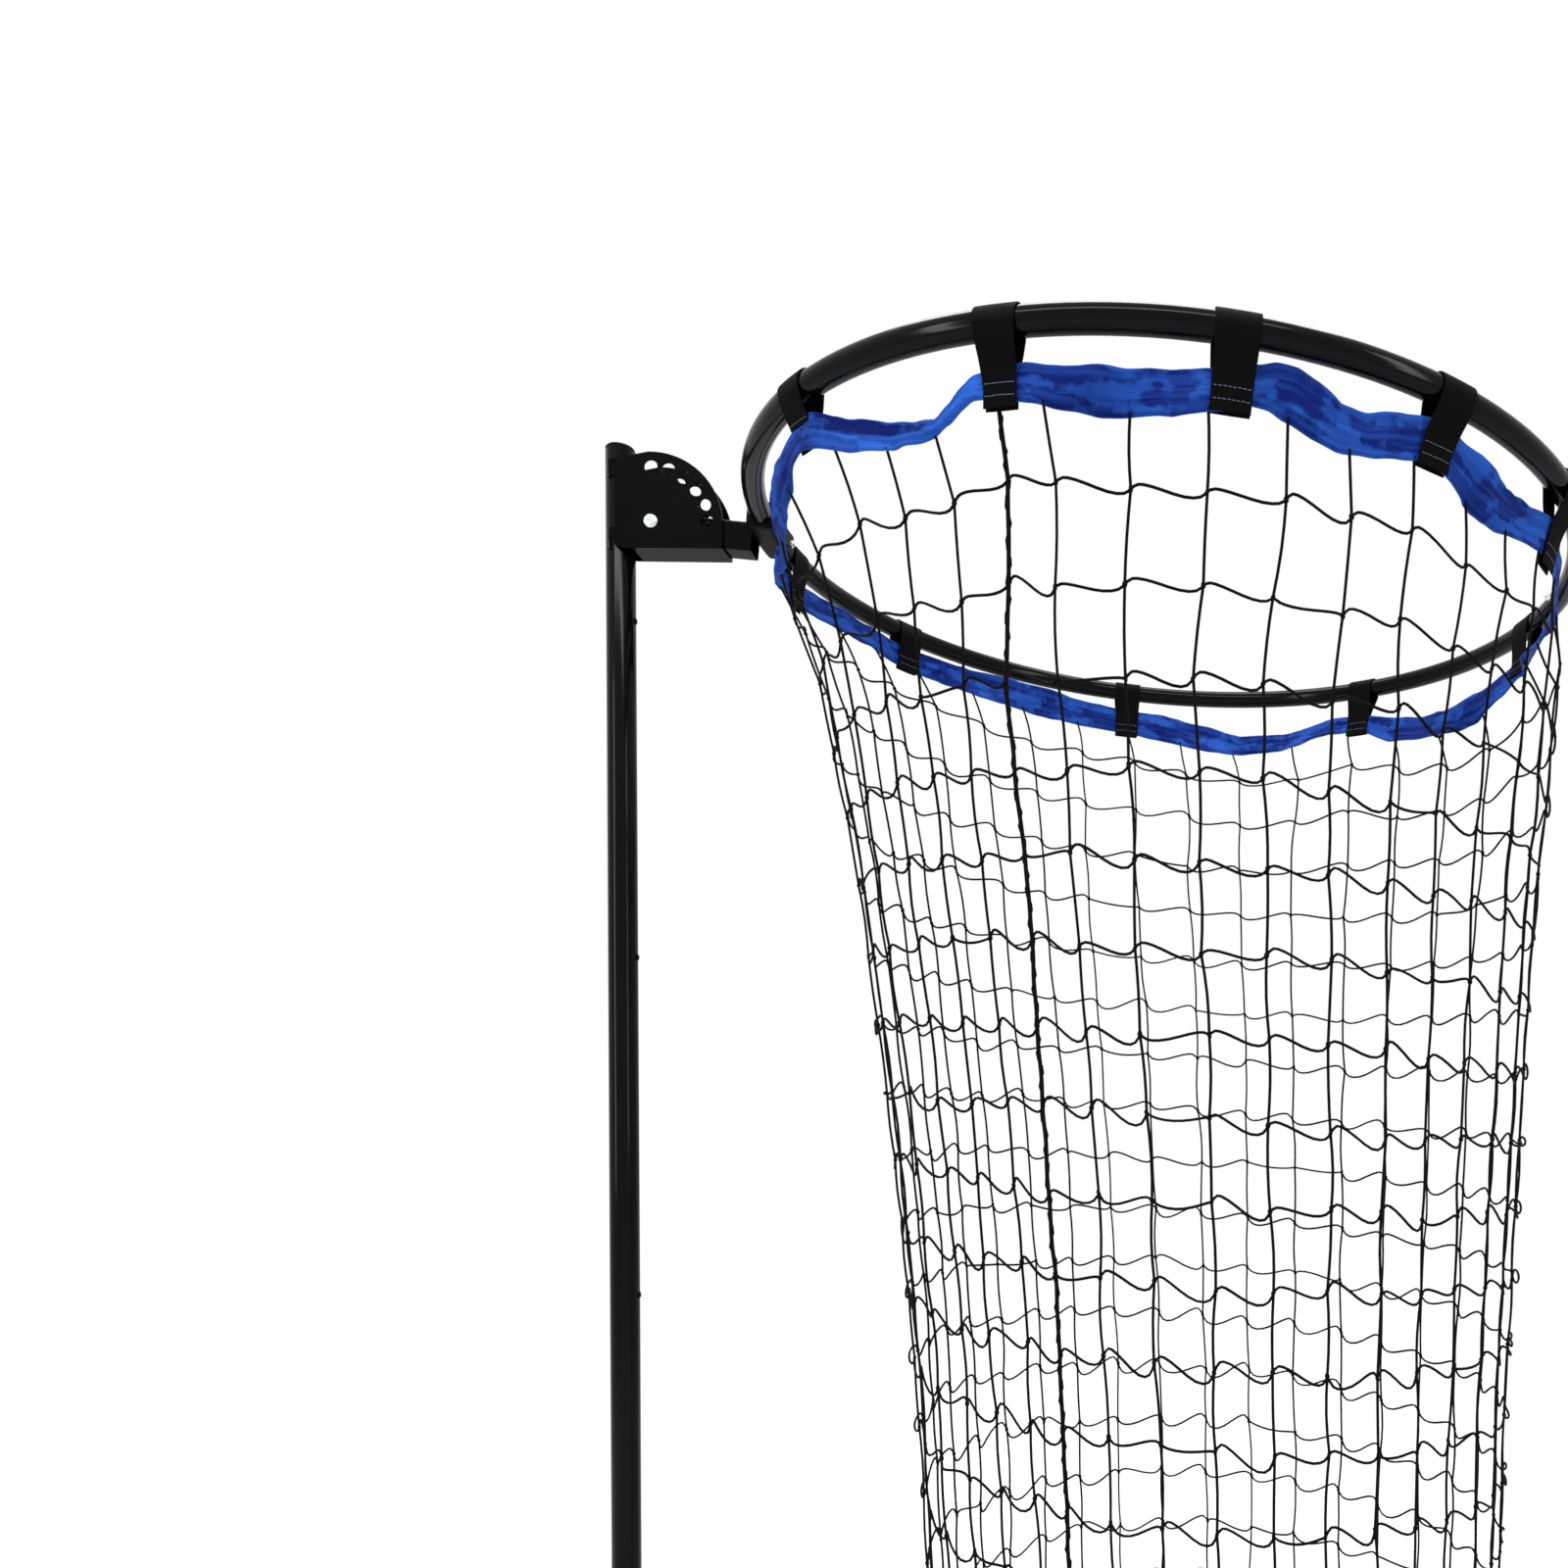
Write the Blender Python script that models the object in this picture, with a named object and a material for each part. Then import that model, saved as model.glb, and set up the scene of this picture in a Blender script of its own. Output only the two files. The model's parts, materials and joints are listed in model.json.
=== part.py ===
"""Volleyball practice net: a tube of netting strapped under a round hoop on a telescoping mast."""

import math

import bmesh
import bpy
from mathutils import Matrix, Vector

TAU = 2 * math.pi
ROUND_STEPS = 28
BORE_STEPS = 16
SMOOTH_BELOW = math.radians(35.0)

# Space between pieces that touch, and round a pin in its hole
GAP = 0.0003
RUNNING_GAP = 0.0002

# Hoop, its plane drooping a little away from the mast
HOOP_HEIGHT = 2.35
HOOP_RADIUS = 0.55
HOOP_DROOP = math.radians(5.0)
HOOP_TUBE_RADIUS = 0.0143
HOOP_TUBE_WALL = 0.0015
HOOP_SIDES = 14
HOOP_STEP = 6.0
HOOP_JOINT_ANGLE = -6.0
HOOP_SLIT = 0.03
HOOP_SLEEVE_HALF = 3.6
HOOP_SLEEVE_WALL = 0.0025
HOOP_SCREW_HALF = 2.0

# Mast: an upper tube that slides in an outer one
MAST_RADIUS = 0.019
MAST_WALL = 0.0015
MAST_SLIDE_GAP = 0.0004
MAST_INSERTION = 0.45
MAST_OVER_PIVOT = 0.105
OUTER_WALL = 0.0036
OUTER_TOP = 0.93
CAP_RIM = 0.002
CAP_DOME = 0.008
CAP_PLUG = 0.020
CAP_PLUG_WALL = 0.003
BUTTON_UNDER_PIVOT = 0.128
BUTTON_SPACING = 0.462
BUTTON_COUNT = 3
BUTTON_RADIUS = 0.0045
BUTTON_PROUD = 0.0018
BUTTON_FLANGE_RADIUS = 0.0065
BUTTON_FLANGE = 0.0015

# Tilt bracket, measured from its pivot; its plates clasp the mast
PIVOT_X = 0.049
PLATE = 0.003
BRACKET_RADIUS = 0.095
BRACKET_SHOULDER = 0.084
BRACKET_CORNER = 0.022
TAB_REACH = 0.0075
TAB_SLOPE = 0.005
UPPER_TAB_LOW = 0.061
LOWER_TAB_HIGH = -0.006
WEB_TO_MAST = 0.001
HOLE_CIRCLE = 0.0748
HOLE_RADIUS = 0.009
HOLE_COUNT = 6
HOLE_PITCH = math.radians(18.0)
SCREW_RADIUS = 0.004
SCREW_HEAD_RADIUS = 0.0095
SCREW_HEAD_HEIGHT = 0.0045
SCREW_HEAD_EDGE = 0.0015
SCREW_RECESS_WIDE = 0.0020
SCREW_RECESS_LONG = 0.0085
SCREW_RECESS_DEEP = 0.0022
SCREW_PAST_NUT = 0.003
NUT_FLATS = 0.0135
NUT_HEIGHT = 0.0065
SPACER_RADIUS = 0.009
SPACER = 0.0008

# Arm, a rectangular tube, measured from the pivot along its own length
ARM_REACH = 0.1526
ARM_DOWN = 0.0247
ARM_UP = 0.0148
ARM_WALL = 0.002
ARM_TAIL = 0.018
ARM_CORNER = 0.0035
ARM_RISE_TO_HOOP = 0.0123
TILT_BUTTON_RADIUS = 0.0042
TILT_BUTTON_DOME = 0.0020
TILT_BUTTON_TRAVEL = 0.0045
TILT_FLANGE_RADIUS = 0.0056
TILT_FLANGE = 0.0012
TILT_SPRING_WIDTH = 0.009
TILT_SPRING_THICK = 0.0008
TILT_SPRING_LENGTH = 0.050
TILT_SPRING_FLAT = 0.006
TILT_SPRING_FOLD = 0.0022

# Saddle that carries the hoop on the arm's end
SADDLE_WALL = 0.003
SADDLE_HALF = 5.6
SADDLE_STEPS = 14
SADDLE_FROM = math.radians(40.0)
SADDLE_TO = math.radians(-140.0)
BOLT_ANGLE = 4.0
BOLT_RADIUS = 0.003
BOLT_HEAD_RADIUS = 0.0060
BOLT_HEAD = 0.0035
BOLT_NUT_FLATS = 0.010
BOLT_NUT = 0.005
BOLT_PAST_NUT = 0.003

# Straps, hem and netting
STRAP_ANGLES = (-139.0, -109.5, -85.5, -60.0, -36.0, 8.0, 48.6, 95.4, 140.5, 171.0)
STRAP_WIDTH = 0.044
STRAP_THICK = 0.0018
STRAP_SLACK = 0.0016
STRAP_LIFT = 0.0005
STRAP_NARROWS = 0.010
STRAP_SHUTS = 0.006
STRAP_PAST_HEM = -0.003
HEM_DROP = 0.050
HEM_HEIGHT = 0.038
HEM_THICK = 0.003
HEM_SAG = 0.022
HEM_PULL_IN = 0.014
HEM_FLAT_HALF = 3.2
HEM_FULL_SAG_SPAN = 32.0
NET_ROWS = 14
NET_TWINE = 0.0035
NET_BOTTOM_HEIGHT = 0.56
NET_BOTTOM_CORD = 0.004
NET_BORDER_INSET = 0.0048
NET_LEVEL_DEPTH = 0.45

# How far inside the hoop's circle the netting lies at each depth below its top
NET_INSETS = (
    (0.00, 0.005),
    (0.12, 0.047),
    (0.29, 0.076),
    (0.48, 0.096),
    (0.73, 0.124),
    (0.99, 0.146),
    (1.24, 0.160),
    (1.80, 0.178),
)

# The netting hangs this far off the hoop's centre, outwards, below this depth
NET_SIDEWAYS = 0.048
NET_SIDEWAYS_DEPTH = 0.30

# Base: a spine and two cross beams of square tube on rubber pads
BEAM = 0.040
BEAM_WALL = 0.002
BEAM_CORNER = 0.004
CROSS_HALF = 0.48
CROSS_BACK_X = -0.170
CROSS_FRONT_X = 0.930
FOOT_HEIGHT = 0.006
FOOT_LENGTH = 0.050
FOOT_SIDE_INSET = 0.003
FOOT_END_INSET = 0.010
PLUG_HEAD = 0.004
PLUG_DEPTH = 0.025
JOINT_PLATE = 0.005
JOINT_PLATE_REACH = 0.075
JOINT_PLATE_INSET = 0.001
SOCKET_TOP = 0.22
SOCKET_WALL = 0.003
FLANGE = 0.005
FLANGE_BOLT_CLEAR = 0.0017
FLANGE_EDGE = 0.011
BASE_BOLT_DEPTH = 0.009

# Clamp that holds the mast's height
CLAMP_HEIGHT = 0.87
CLAMP_BOSS_RADIUS = 0.009
CLAMP_BOSS_LENGTH = 0.014
CLAMP_SCREW_RADIUS = 0.004
CLAMP_SCREW_BARE = 0.004
KNOB_RADIUS = 0.024
KNOB_THICK = 0.016
KNOB_EDGE = 0.0025
KNOB_EDGE_SCALE = 0.85
KNOB_LOBES = 5
KNOB_LOBE_DEPTH = 0.13
KNOB_LOBE_STEPS = 8

# Sizes that follow from the ones above
OUTER_RADIUS = MAST_RADIUS + MAST_SLIDE_GAP + OUTER_WALL
PLATE_GAP = 2 * (MAST_RADIUS + MAST_SLIDE_GAP)
ARM_WIDTH = PLATE_GAP - 2 * (SPACER + 2 * GAP)
ARM_SAG = BRACKET_RADIUS * math.tan(HOOP_DROOP) + ARM_DOWN / math.cos(HOOP_DROOP)
BRACKET_BOTTOM = -(ARM_SAG + GAP + PLATE)
BRACKET_BACK = -(PIVOT_X + TAB_REACH)
WEB_BACK = -(PIVOT_X - MAST_RADIUS - WEB_TO_MAST)
HOOP_REACH = ARM_REACH + HOOP_RADIUS
HOOP_CENTRE_X = PIVOT_X + HOOP_REACH * math.cos(HOOP_DROOP) + ARM_RISE_TO_HOOP * math.sin(HOOP_DROOP)
PIVOT_Z = HOOP_HEIGHT + HOOP_REACH * math.sin(HOOP_DROOP) - ARM_RISE_TO_HOOP * math.cos(HOOP_DROOP)
HOOP_TUBE_FLAT = HOOP_TUBE_RADIUS * math.cos(math.pi / HOOP_SIDES)
HOOP_CHORD = HOOP_RADIUS * (1.0 - math.cos(math.radians(SADDLE_HALF / 2)))
BEAM_TOP = FOOT_HEIGHT + BEAM
PLATE_SEAT = BEAM_TOP + GAP
FLANGE_BOLT_X = OUTER_RADIUS + GAP + SOCKET_WALL + FLANGE_BOLT_CLEAR + BOLT_HEAD_RADIUS
FLANGE_HALF = FLANGE_BOLT_X + FLANGE_EDGE
NET_COLUMNS = 2 * len(STRAP_ANGLES)
NET_LENGTH = HOOP_HEIGHT - HEM_DROP - HEM_HEIGHT - HEM_SAG - NET_BOTTOM_HEIGHT


def clear_scene():
    for thing in list(bpy.data.objects):
        bpy.data.objects.remove(thing)


def material(name, colour, roughness, metallic=0.0):
    """A plain shader under this name, made once."""
    found = bpy.data.materials.get(name)
    if found:
        return found
    made = bpy.data.materials.new(name)
    made.use_nodes = True
    shader = made.node_tree.nodes["Principled BSDF"]
    shader.inputs["Base Color"].default_value = (*colour, 1.0)
    shader.inputs["Roughness"].default_value = roughness
    shader.inputs["Metallic"].default_value = metallic
    return made


def black_steel():
    return material("black_powder_coat", (0.012, 0.012, 0.013), 0.28)


def black_plastic():
    return material("black_plastic", (0.020, 0.020, 0.021), 0.45)


def zinc():
    return material("zinc_plate", (0.72, 0.73, 0.74), 0.30, 1.0)


def spring_steel():
    return material("spring_steel", (0.45, 0.45, 0.46), 0.35, 1.0)


def webbing():
    return material("black_webbing", (0.015, 0.015, 0.016), 0.85)


def blue_tape():
    return material("blue_tape", (0.020, 0.085, 0.560), 0.70)


def black_twine():
    return material("black_twine", (0.018, 0.018, 0.019), 0.80)


def black_rubber():
    return material("black_rubber", (0.025, 0.025, 0.025), 0.90)


def add_object(name, shape, look, parent=None, smooth=True):
    """A mesh object from a bmesh, shaded smooth across its shallow edges."""
    bmesh.ops.remove_doubles(shape, verts=shape.verts, dist=1e-6)
    bmesh.ops.recalc_face_normals(shape, faces=shape.faces)
    mesh = bpy.data.meshes.new(name)
    shape.to_mesh(mesh)
    shape.free()
    mesh.materials.append(look)
    thing = bpy.data.objects.new(name, mesh)
    bpy.context.scene.collection.objects.link(thing)
    if smooth:
        mesh.shade_smooth()
        mesh.set_sharp_from_angle(angle=SMOOTH_BELOW)
    if parent:
        thing.parent = parent
    return thing


def add_frame(name, position, tilt):
    """An empty that carries the pieces measured from it."""
    frame = bpy.data.objects.new(name, None)
    frame.location = position
    frame.rotation_euler = (0.0, tilt, 0.0)
    bpy.context.scene.collection.objects.link(frame)
    return frame


def cutter(name, shape, parent=None):
    """A shape that only cuts or joins other pieces."""
    thing = add_object(name, shape, black_steel(), parent, smooth=False)
    thing.hide_render = True
    thing.display_type = "WIRE"
    return thing


def cut(thing, tool, operation="DIFFERENCE"):
    step = thing.modifiers.new(operation.lower(), "BOOLEAN")
    step.operation = operation
    step.solver = "EXACT"
    step.object = tool


def loft(rings, loop=False):
    """Faces between successive rings of points, closed by flat caps or, as a loop, onto itself."""
    shape = bmesh.new()
    rows = [[shape.verts.new(point) for point in ring] for ring in rings]
    pairs = list(zip(rows, rows[1:]))
    if loop:
        pairs.append((rows[-1], rows[0]))
    else:
        shape.faces.new(list(reversed(rows[0])))
        shape.faces.new(rows[-1])
    for first, second in pairs:
        for i in range(len(first)):
            j = (i + 1) % len(first)
            shape.faces.new((first[i], first[j], second[j], second[i]))
    return shape


def circle(radius, height, steps=ROUND_STEPS):
    """A ring of points around Z."""
    angles = [TAU * i / steps for i in range(steps)]
    return [Vector((radius * math.cos(a), radius * math.sin(a), height)) for a in angles]


def turned(profile, steps=ROUND_STEPS, loop=False):
    """A solid of revolution about Z from (radius, height) pairs; a zero radius closes the end."""
    shape = bmesh.new()
    rows = []
    for radius, height in profile:
        ring = circle(radius, height, steps) if radius > 0.0 else [Vector((0.0, 0.0, height))]
        rows.append([shape.verts.new(point) for point in ring])
    pairs = list(zip(rows, rows[1:]))
    if loop:
        pairs.append((rows[-1], rows[0]))
    for first, second in pairs:
        for i in range(steps):
            j = (i + 1) % steps
            corners = [row[k % len(row)] for row, k in ((first, i), (first, j), (second, j), (second, i))]
            shape.faces.new([c for n, c in enumerate(corners) if c not in corners[:n]])
    return shape


def tube(outer, inner, low, high, steps=ROUND_STEPS):
    return turned([(outer, low), (outer, high), (inner, high), (inner, low)], steps, loop=True)


def rod(radius, low, high, steps=BORE_STEPS):
    return turned([(0.0, low), (radius, low), (radius, high), (0.0, high)], steps)


def moved(shape, matrix):
    bmesh.ops.transform(shape, matrix=matrix, verts=shape.verts)
    return shape


def shifted(shape, x=0.0, y=0.0, z=0.0):
    return moved(shape, Matrix.Translation((x, y, z)))


def along_y(shape):
    """Turns a shape built up Z to run along +Y."""
    return moved(shape, Matrix.Rotation(-math.pi / 2, 4, "X"))


def along_x(shape):
    """Turns a shape built up Z to run along +X."""
    return moved(shape, Matrix.Rotation(math.pi / 2, 4, "Y"))


def half_turn(shape):
    """Turns a shape round Z to face the other way."""
    return moved(shape, Matrix.Rotation(math.pi, 4, "Z"))


def arc(centre, radius, start, end, steps):
    """Points of an arc in a plane, from one angle to another in degrees."""
    angles = [math.radians(start + (end - start) * i / steps) for i in range(steps + 1)]
    return [(centre[0] + radius * math.cos(a), centre[1] + radius * math.sin(a)) for a in angles]


def rounded_section(half_y, low_z, high_z, corner):
    """A rectangle in the YZ plane with rounded corners."""
    y = half_y - corner
    top = high_z - corner
    low = low_z + corner
    points = []
    for centre, start in (((y, top), 0.0), ((-y, top), 90.0), ((-y, low), 180.0), ((y, low), 270.0)):
        points += arc(centre, corner, start, start + 90.0, 3)
    return points


def box_tube(half_y, low_z, high_z, corner, wall, start_x, end_x):
    """A rectangular tube along X, open at both ends."""
    outer = rounded_section(half_y, low_z, high_z, corner)
    inner = rounded_section(half_y - wall, low_z + wall, high_z - wall, max(corner - wall, GAP))
    rings = []
    for x, section in ((start_x, outer), (end_x, outer), (end_x, inner), (start_x, inner)):
        rings.append([Vector((x, y, z)) for y, z in section])
    return loft(rings, loop=True)


def box(low, high):
    shape = bmesh.new()
    bmesh.ops.create_cube(shape, size=1.0)
    centre = [(a + b) / 2 for a, b in zip(low, high)]
    sides = [b - a for a, b in zip(low, high)]
    return moved(shape, Matrix.Translation(centre) @ Matrix.Diagonal((*sides, 1.0)))


def prism_y(outline, half):
    """A flat outline in XZ given a thickness along Y."""
    return loft([[Vector((x, y, z)) for x, z in outline] for y in (-half, half)])


def hexagon(flats, low, high):
    return loft([circle(flats / math.sqrt(3.0), z, 6) for z in (low, high)])


def button_height(index):
    return PIVOT_Z - BUTTON_UNDER_PIVOT - index * BUTTON_SPACING


def build_mast_tube():
    top = PIVOT_Z + MAST_OVER_PIVOT
    shape = tube(MAST_RADIUS, MAST_RADIUS - MAST_WALL, OUTER_TOP - MAST_INSERTION, top)
    thing = add_object("mast_upper_tube", shape, black_steel())
    for n in range(BUTTON_COUNT):
        hole = along_x(rod(BUTTON_RADIUS + RUNNING_GAP, MAST_RADIUS - 3 * MAST_WALL, MAST_RADIUS + MAST_WALL))
        cut(thing, cutter(f"cut_mast_button_{n + 1}", shifted(hole, z=button_height(n))))


def build_mast_buttons():
    """Snap buttons that stick out of the mast's net side, each a stem with a flange inside the tube."""
    inner = MAST_RADIUS - MAST_WALL
    flange_top = math.sqrt(inner**2 - BUTTON_FLANGE_RADIUS**2) - GAP
    profile = [
        (0.0, flange_top - BUTTON_FLANGE),
        (BUTTON_FLANGE_RADIUS, flange_top - BUTTON_FLANGE),
        (BUTTON_FLANGE_RADIUS, flange_top),
        (BUTTON_RADIUS, flange_top),
        (BUTTON_RADIUS, MAST_RADIUS + BUTTON_PROUD * 0.3),
        (BUTTON_RADIUS * 0.75, MAST_RADIUS + BUTTON_PROUD * 0.85),
        (0.0, MAST_RADIUS + BUTTON_PROUD),
    ]
    for n in range(BUTTON_COUNT):
        shape = along_x(turned(profile, BORE_STEPS))
        add_object(f"mast_button_{n + 1}", shifted(shape, z=button_height(n)), black_plastic())


def build_mast_cap():
    """A domed plug closing the mast's top."""
    top = PIVOT_Z + MAST_OVER_PIVOT + GAP
    rim = top + CAP_RIM
    plug = MAST_RADIUS - MAST_WALL - GAP
    rise = (CAP_DOME - CAP_RIM) / MAST_RADIUS
    dome = [(r, rim + up * rise) for r, up in arc((0.0, 0.0), MAST_RADIUS, 0.0, 70.0, 3)]
    profile = [
        (0.0, rim),
        (plug - CAP_PLUG_WALL, top),
        (plug - CAP_PLUG_WALL, top - CAP_PLUG),
        (plug, top - CAP_PLUG),
        (plug, top),
        (MAST_RADIUS, top),
        *dome,
        (0.0, top + CAP_DOME),
    ]
    add_object("mast_cap", turned(profile), black_plastic())


def bracket_outline():
    """The side plate: a quarter disc round the pivot with two tabs that reach back along the mast."""
    corner = (BRACKET_BACK + BRACKET_CORNER, BRACKET_BOTTOM + BRACKET_CORNER)
    return [
        *arc((0.0, 0.0), BRACKET_RADIUS, 0.0, 92.0, 16),
        (BRACKET_BACK, BRACKET_SHOULDER),
        (BRACKET_BACK, UPPER_TAB_LOW + TAB_SLOPE),
        (-PIVOT_X, UPPER_TAB_LOW),
        (-PIVOT_X, LOWER_TAB_HIGH),
        (BRACKET_BACK, LOWER_TAB_HIGH - TAB_SLOPE),
        *arc(corner, BRACKET_CORNER, 180.0, 270.0, 6),
        (BRACKET_RADIUS, BRACKET_BOTTOM),
    ]


def build_bracket(pivot):
    """Two plates joined by a bottom web, with an arc of holes and the pivot hole through both."""
    inner = PLATE_GAP / 2
    outer = inner + PLATE
    over = BRACKET_RADIUS + PLATE
    thing = add_object("tilt_bracket", prism_y(bracket_outline(), outer), black_steel(), pivot)
    slot = box((WEB_BACK, -inner, BRACKET_BOTTOM + PLATE), (over, inner, over))
    cut(thing, cutter("cut_bracket_slot", slot, pivot))
    behind = box((BRACKET_BACK - PLATE, -inner, BRACKET_BOTTOM - PLATE), (WEB_BACK + PLATE, inner, over))
    cut(thing, cutter("cut_bracket_back", behind, pivot))
    for n in range(HOLE_COUNT):
        x = HOLE_CIRCLE * math.cos(HOLE_PITCH * n)
        z = HOLE_CIRCLE * math.sin(HOLE_PITCH * n)
        hole = shifted(along_y(rod(HOLE_RADIUS, -2 * outer, 2 * outer)), x, 0.0, z)
        cut(thing, cutter(f"cut_bracket_hole_{n + 1}", hole, pivot))
    hole = along_y(rod(SCREW_RADIUS + RUNNING_GAP, -2 * outer, 2 * outer))
    cut(thing, cutter("cut_bracket_pivot", hole, pivot))


def build_pivot_screw(pivot):
    """A pan-head screw with a cross recess on the near side, long enough for its nut on the far side."""
    face = PLATE_GAP / 2 + PLATE + GAP
    head = face + SCREW_HEAD_HEIGHT
    end = -face - NUT_HEIGHT - SCREW_PAST_NUT
    profile = [
        (0.0, end),
        (SCREW_RADIUS, end),
        (SCREW_RADIUS, face),
        (SCREW_HEAD_RADIUS, face),
        (SCREW_HEAD_RADIUS, face + SCREW_HEAD_EDGE),
        (SCREW_HEAD_RADIUS * 0.85, face + SCREW_HEAD_HEIGHT * 0.72),
        (SCREW_HEAD_RADIUS * 0.55, face + SCREW_HEAD_HEIGHT * 0.94),
        (0.0, head),
    ]
    thing = add_object("pivot_screw", half_turn(along_y(turned(profile, 24))), zinc(), pivot)
    long = SCREW_RECESS_LONG / 2
    wide = SCREW_RECESS_WIDE / 2
    for name, x, z in (("a", long, wide), ("b", wide, long)):
        slot = box((-x, -head - SCREW_RECESS_DEEP, -z), (x, SCREW_RECESS_DEEP - head, z))
        cut(thing, cutter(f"cut_screw_slot_{name}", slot, pivot))


def build_pivot_nut(pivot):
    face = PLATE_GAP / 2 + PLATE + GAP
    shape = along_y(hexagon(NUT_FLATS, face, face + NUT_HEIGHT))
    thing = add_object("pivot_nut", shape, zinc(), pivot, False)
    bore = along_y(rod(SCREW_RADIUS + RUNNING_GAP, face - GAP, face + 2 * NUT_HEIGHT))
    cut(thing, cutter("cut_pivot_nut", bore, pivot))


def build_pivot_spacers(arm):
    """Thin washers between the arm and the plates."""
    low = ARM_WIDTH / 2 + GAP
    for name in ("near", "far"):
        shape = along_y(tube(SPACER_RADIUS, SCREW_RADIUS + RUNNING_GAP, low, low + SPACER, 20))
        if name == "near":
            shape = half_turn(shape)
        add_object(f"pivot_spacer_{name}", shape, black_plastic(), arm)


def tilt_button_place():
    """The lock hole in the arm's own frame, lined up with the bracket's lowest hole at rest."""
    return HOLE_CIRCLE * math.cos(HOOP_DROOP), HOLE_CIRCLE * math.sin(HOOP_DROOP)


def tilt_flange_outside():
    """How far from the middle the tilt buttons' flanges stand when the buttons are pressed in."""
    return ARM_WIDTH / 2 - ARM_WALL - TILT_BUTTON_TRAVEL - 2 * GAP


def build_arm(arm):
    end = ARM_REACH - HOOP_TUBE_RADIUS - SADDLE_WALL - 4 * GAP
    shape = box_tube(ARM_WIDTH / 2, -ARM_DOWN, ARM_UP, ARM_CORNER, ARM_WALL, -ARM_TAIL, end)
    thing = add_object("hoop_arm", shape, black_steel(), arm)
    hole = along_y(rod(SCREW_RADIUS + RUNNING_GAP, -ARM_WIDTH, ARM_WIDTH))
    cut(thing, cutter("cut_arm_pivot", hole, arm))
    x, z = tilt_button_place()
    hole = along_y(rod(TILT_BUTTON_RADIUS + RUNNING_GAP, -ARM_WIDTH, ARM_WIDTH))
    cut(thing, cutter("cut_arm_lock", shifted(hole, x, 0.0, z), arm))


def build_tilt_buttons(arm):
    """Two domed buttons, one through each side wall, pressed in to the plates' inner faces."""
    x, z = tilt_button_place()
    tip = PLATE_GAP / 2 - GAP
    flange = tilt_flange_outside()
    profile = [
        (0.0, flange - TILT_FLANGE),
        (TILT_FLANGE_RADIUS, flange - TILT_FLANGE),
        (TILT_FLANGE_RADIUS, flange),
        (TILT_BUTTON_RADIUS, flange),
        (TILT_BUTTON_RADIUS, tip - TILT_BUTTON_DOME),
        (TILT_BUTTON_RADIUS * 0.72, tip - TILT_BUTTON_DOME * 0.30),
        (0.0, tip),
    ]
    for name in ("near", "far"):
        shape = along_y(turned(profile, BORE_STEPS))
        if name == "near":
            shape = half_turn(shape)
        add_object(f"tilt_button_{name}", shifted(shape, x, 0.0, z), black_plastic(), arm)


def build_tilt_spring(arm):
    """The V-shaped leaf spring behind the two buttons, folded at its tail."""
    x, z = tilt_button_place()
    half = tilt_flange_outside() - TILT_FLANGE - GAP
    thick = TILT_SPRING_THICK
    nose = x + TILT_SPRING_FLAT
    heel = x - TILT_SPRING_FLAT
    tail = x - TILT_SPRING_LENGTH
    outside = [(nose, half), (heel, half), (tail, TILT_SPRING_FOLD)]
    inside = [(nose, half - thick), (heel, half - thick), (tail + 2 * thick, TILT_SPRING_FOLD - thick)]
    outline = outside + [(px, -py) for px, py in reversed(outside)]
    outline += [(px, -py) for px, py in inside] + list(reversed(inside))
    level = TILT_SPRING_WIDTH / 2
    rings = [[Vector((px, py, z + side)) for px, py in outline] for side in (-level, level)]
    add_object("tilt_button_spring", loft(rings), spring_steel(), arm, False)


def hoop_point(angle, out=0.0, up=0.0):
    """A point by its angle round the hoop in degrees; out and up are from the tube's centre line."""
    a = math.radians(angle)
    reach = HOOP_RADIUS + out
    return Vector((HOOP_REACH + reach * math.cos(a), reach * math.sin(a), ARM_RISE_TO_HOOP + up))


def hoop_tube(angles, outer, inner):
    """A length of bent tube through these angles, open at both ends."""
    turns = [TAU * (i + 0.5) / HOOP_SIDES for i in range(HOOP_SIDES)]
    rings = []
    for radius, stations in ((outer, angles), (inner, reversed(angles))):
        for angle in stations:
            rings.append([hoop_point(angle, radius * math.cos(t), radius * math.sin(t)) for t in turns])
    return loft(rings, loop=True)


def even_angles(start, end):
    count = max(1, round((end - start) / HOOP_STEP))
    return [start + (end - start) * i / count for i in range(count + 1)]


def radial_rod(angle, radius, low, high):
    return moved(rod(radius, low, high), radial_frame(angle))


def radial_frame(angle):
    """Carries a shape built up Z to point outward across the hoop tube at this angle."""
    turn = Matrix.Rotation(math.radians(angle), 4, "Z") @ Matrix.Rotation(math.pi / 2, 4, "Y")
    return Matrix.Translation(hoop_point(angle)) @ turn


def drill_hoop(thing, name, angle, arm):
    """A bolt hole right across the hoop tube."""
    reach = 2 * HOOP_TUBE_RADIUS
    cut(thing, cutter(name, radial_rod(angle, BOLT_RADIUS + RUNNING_GAP, -reach, reach), arm))


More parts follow.
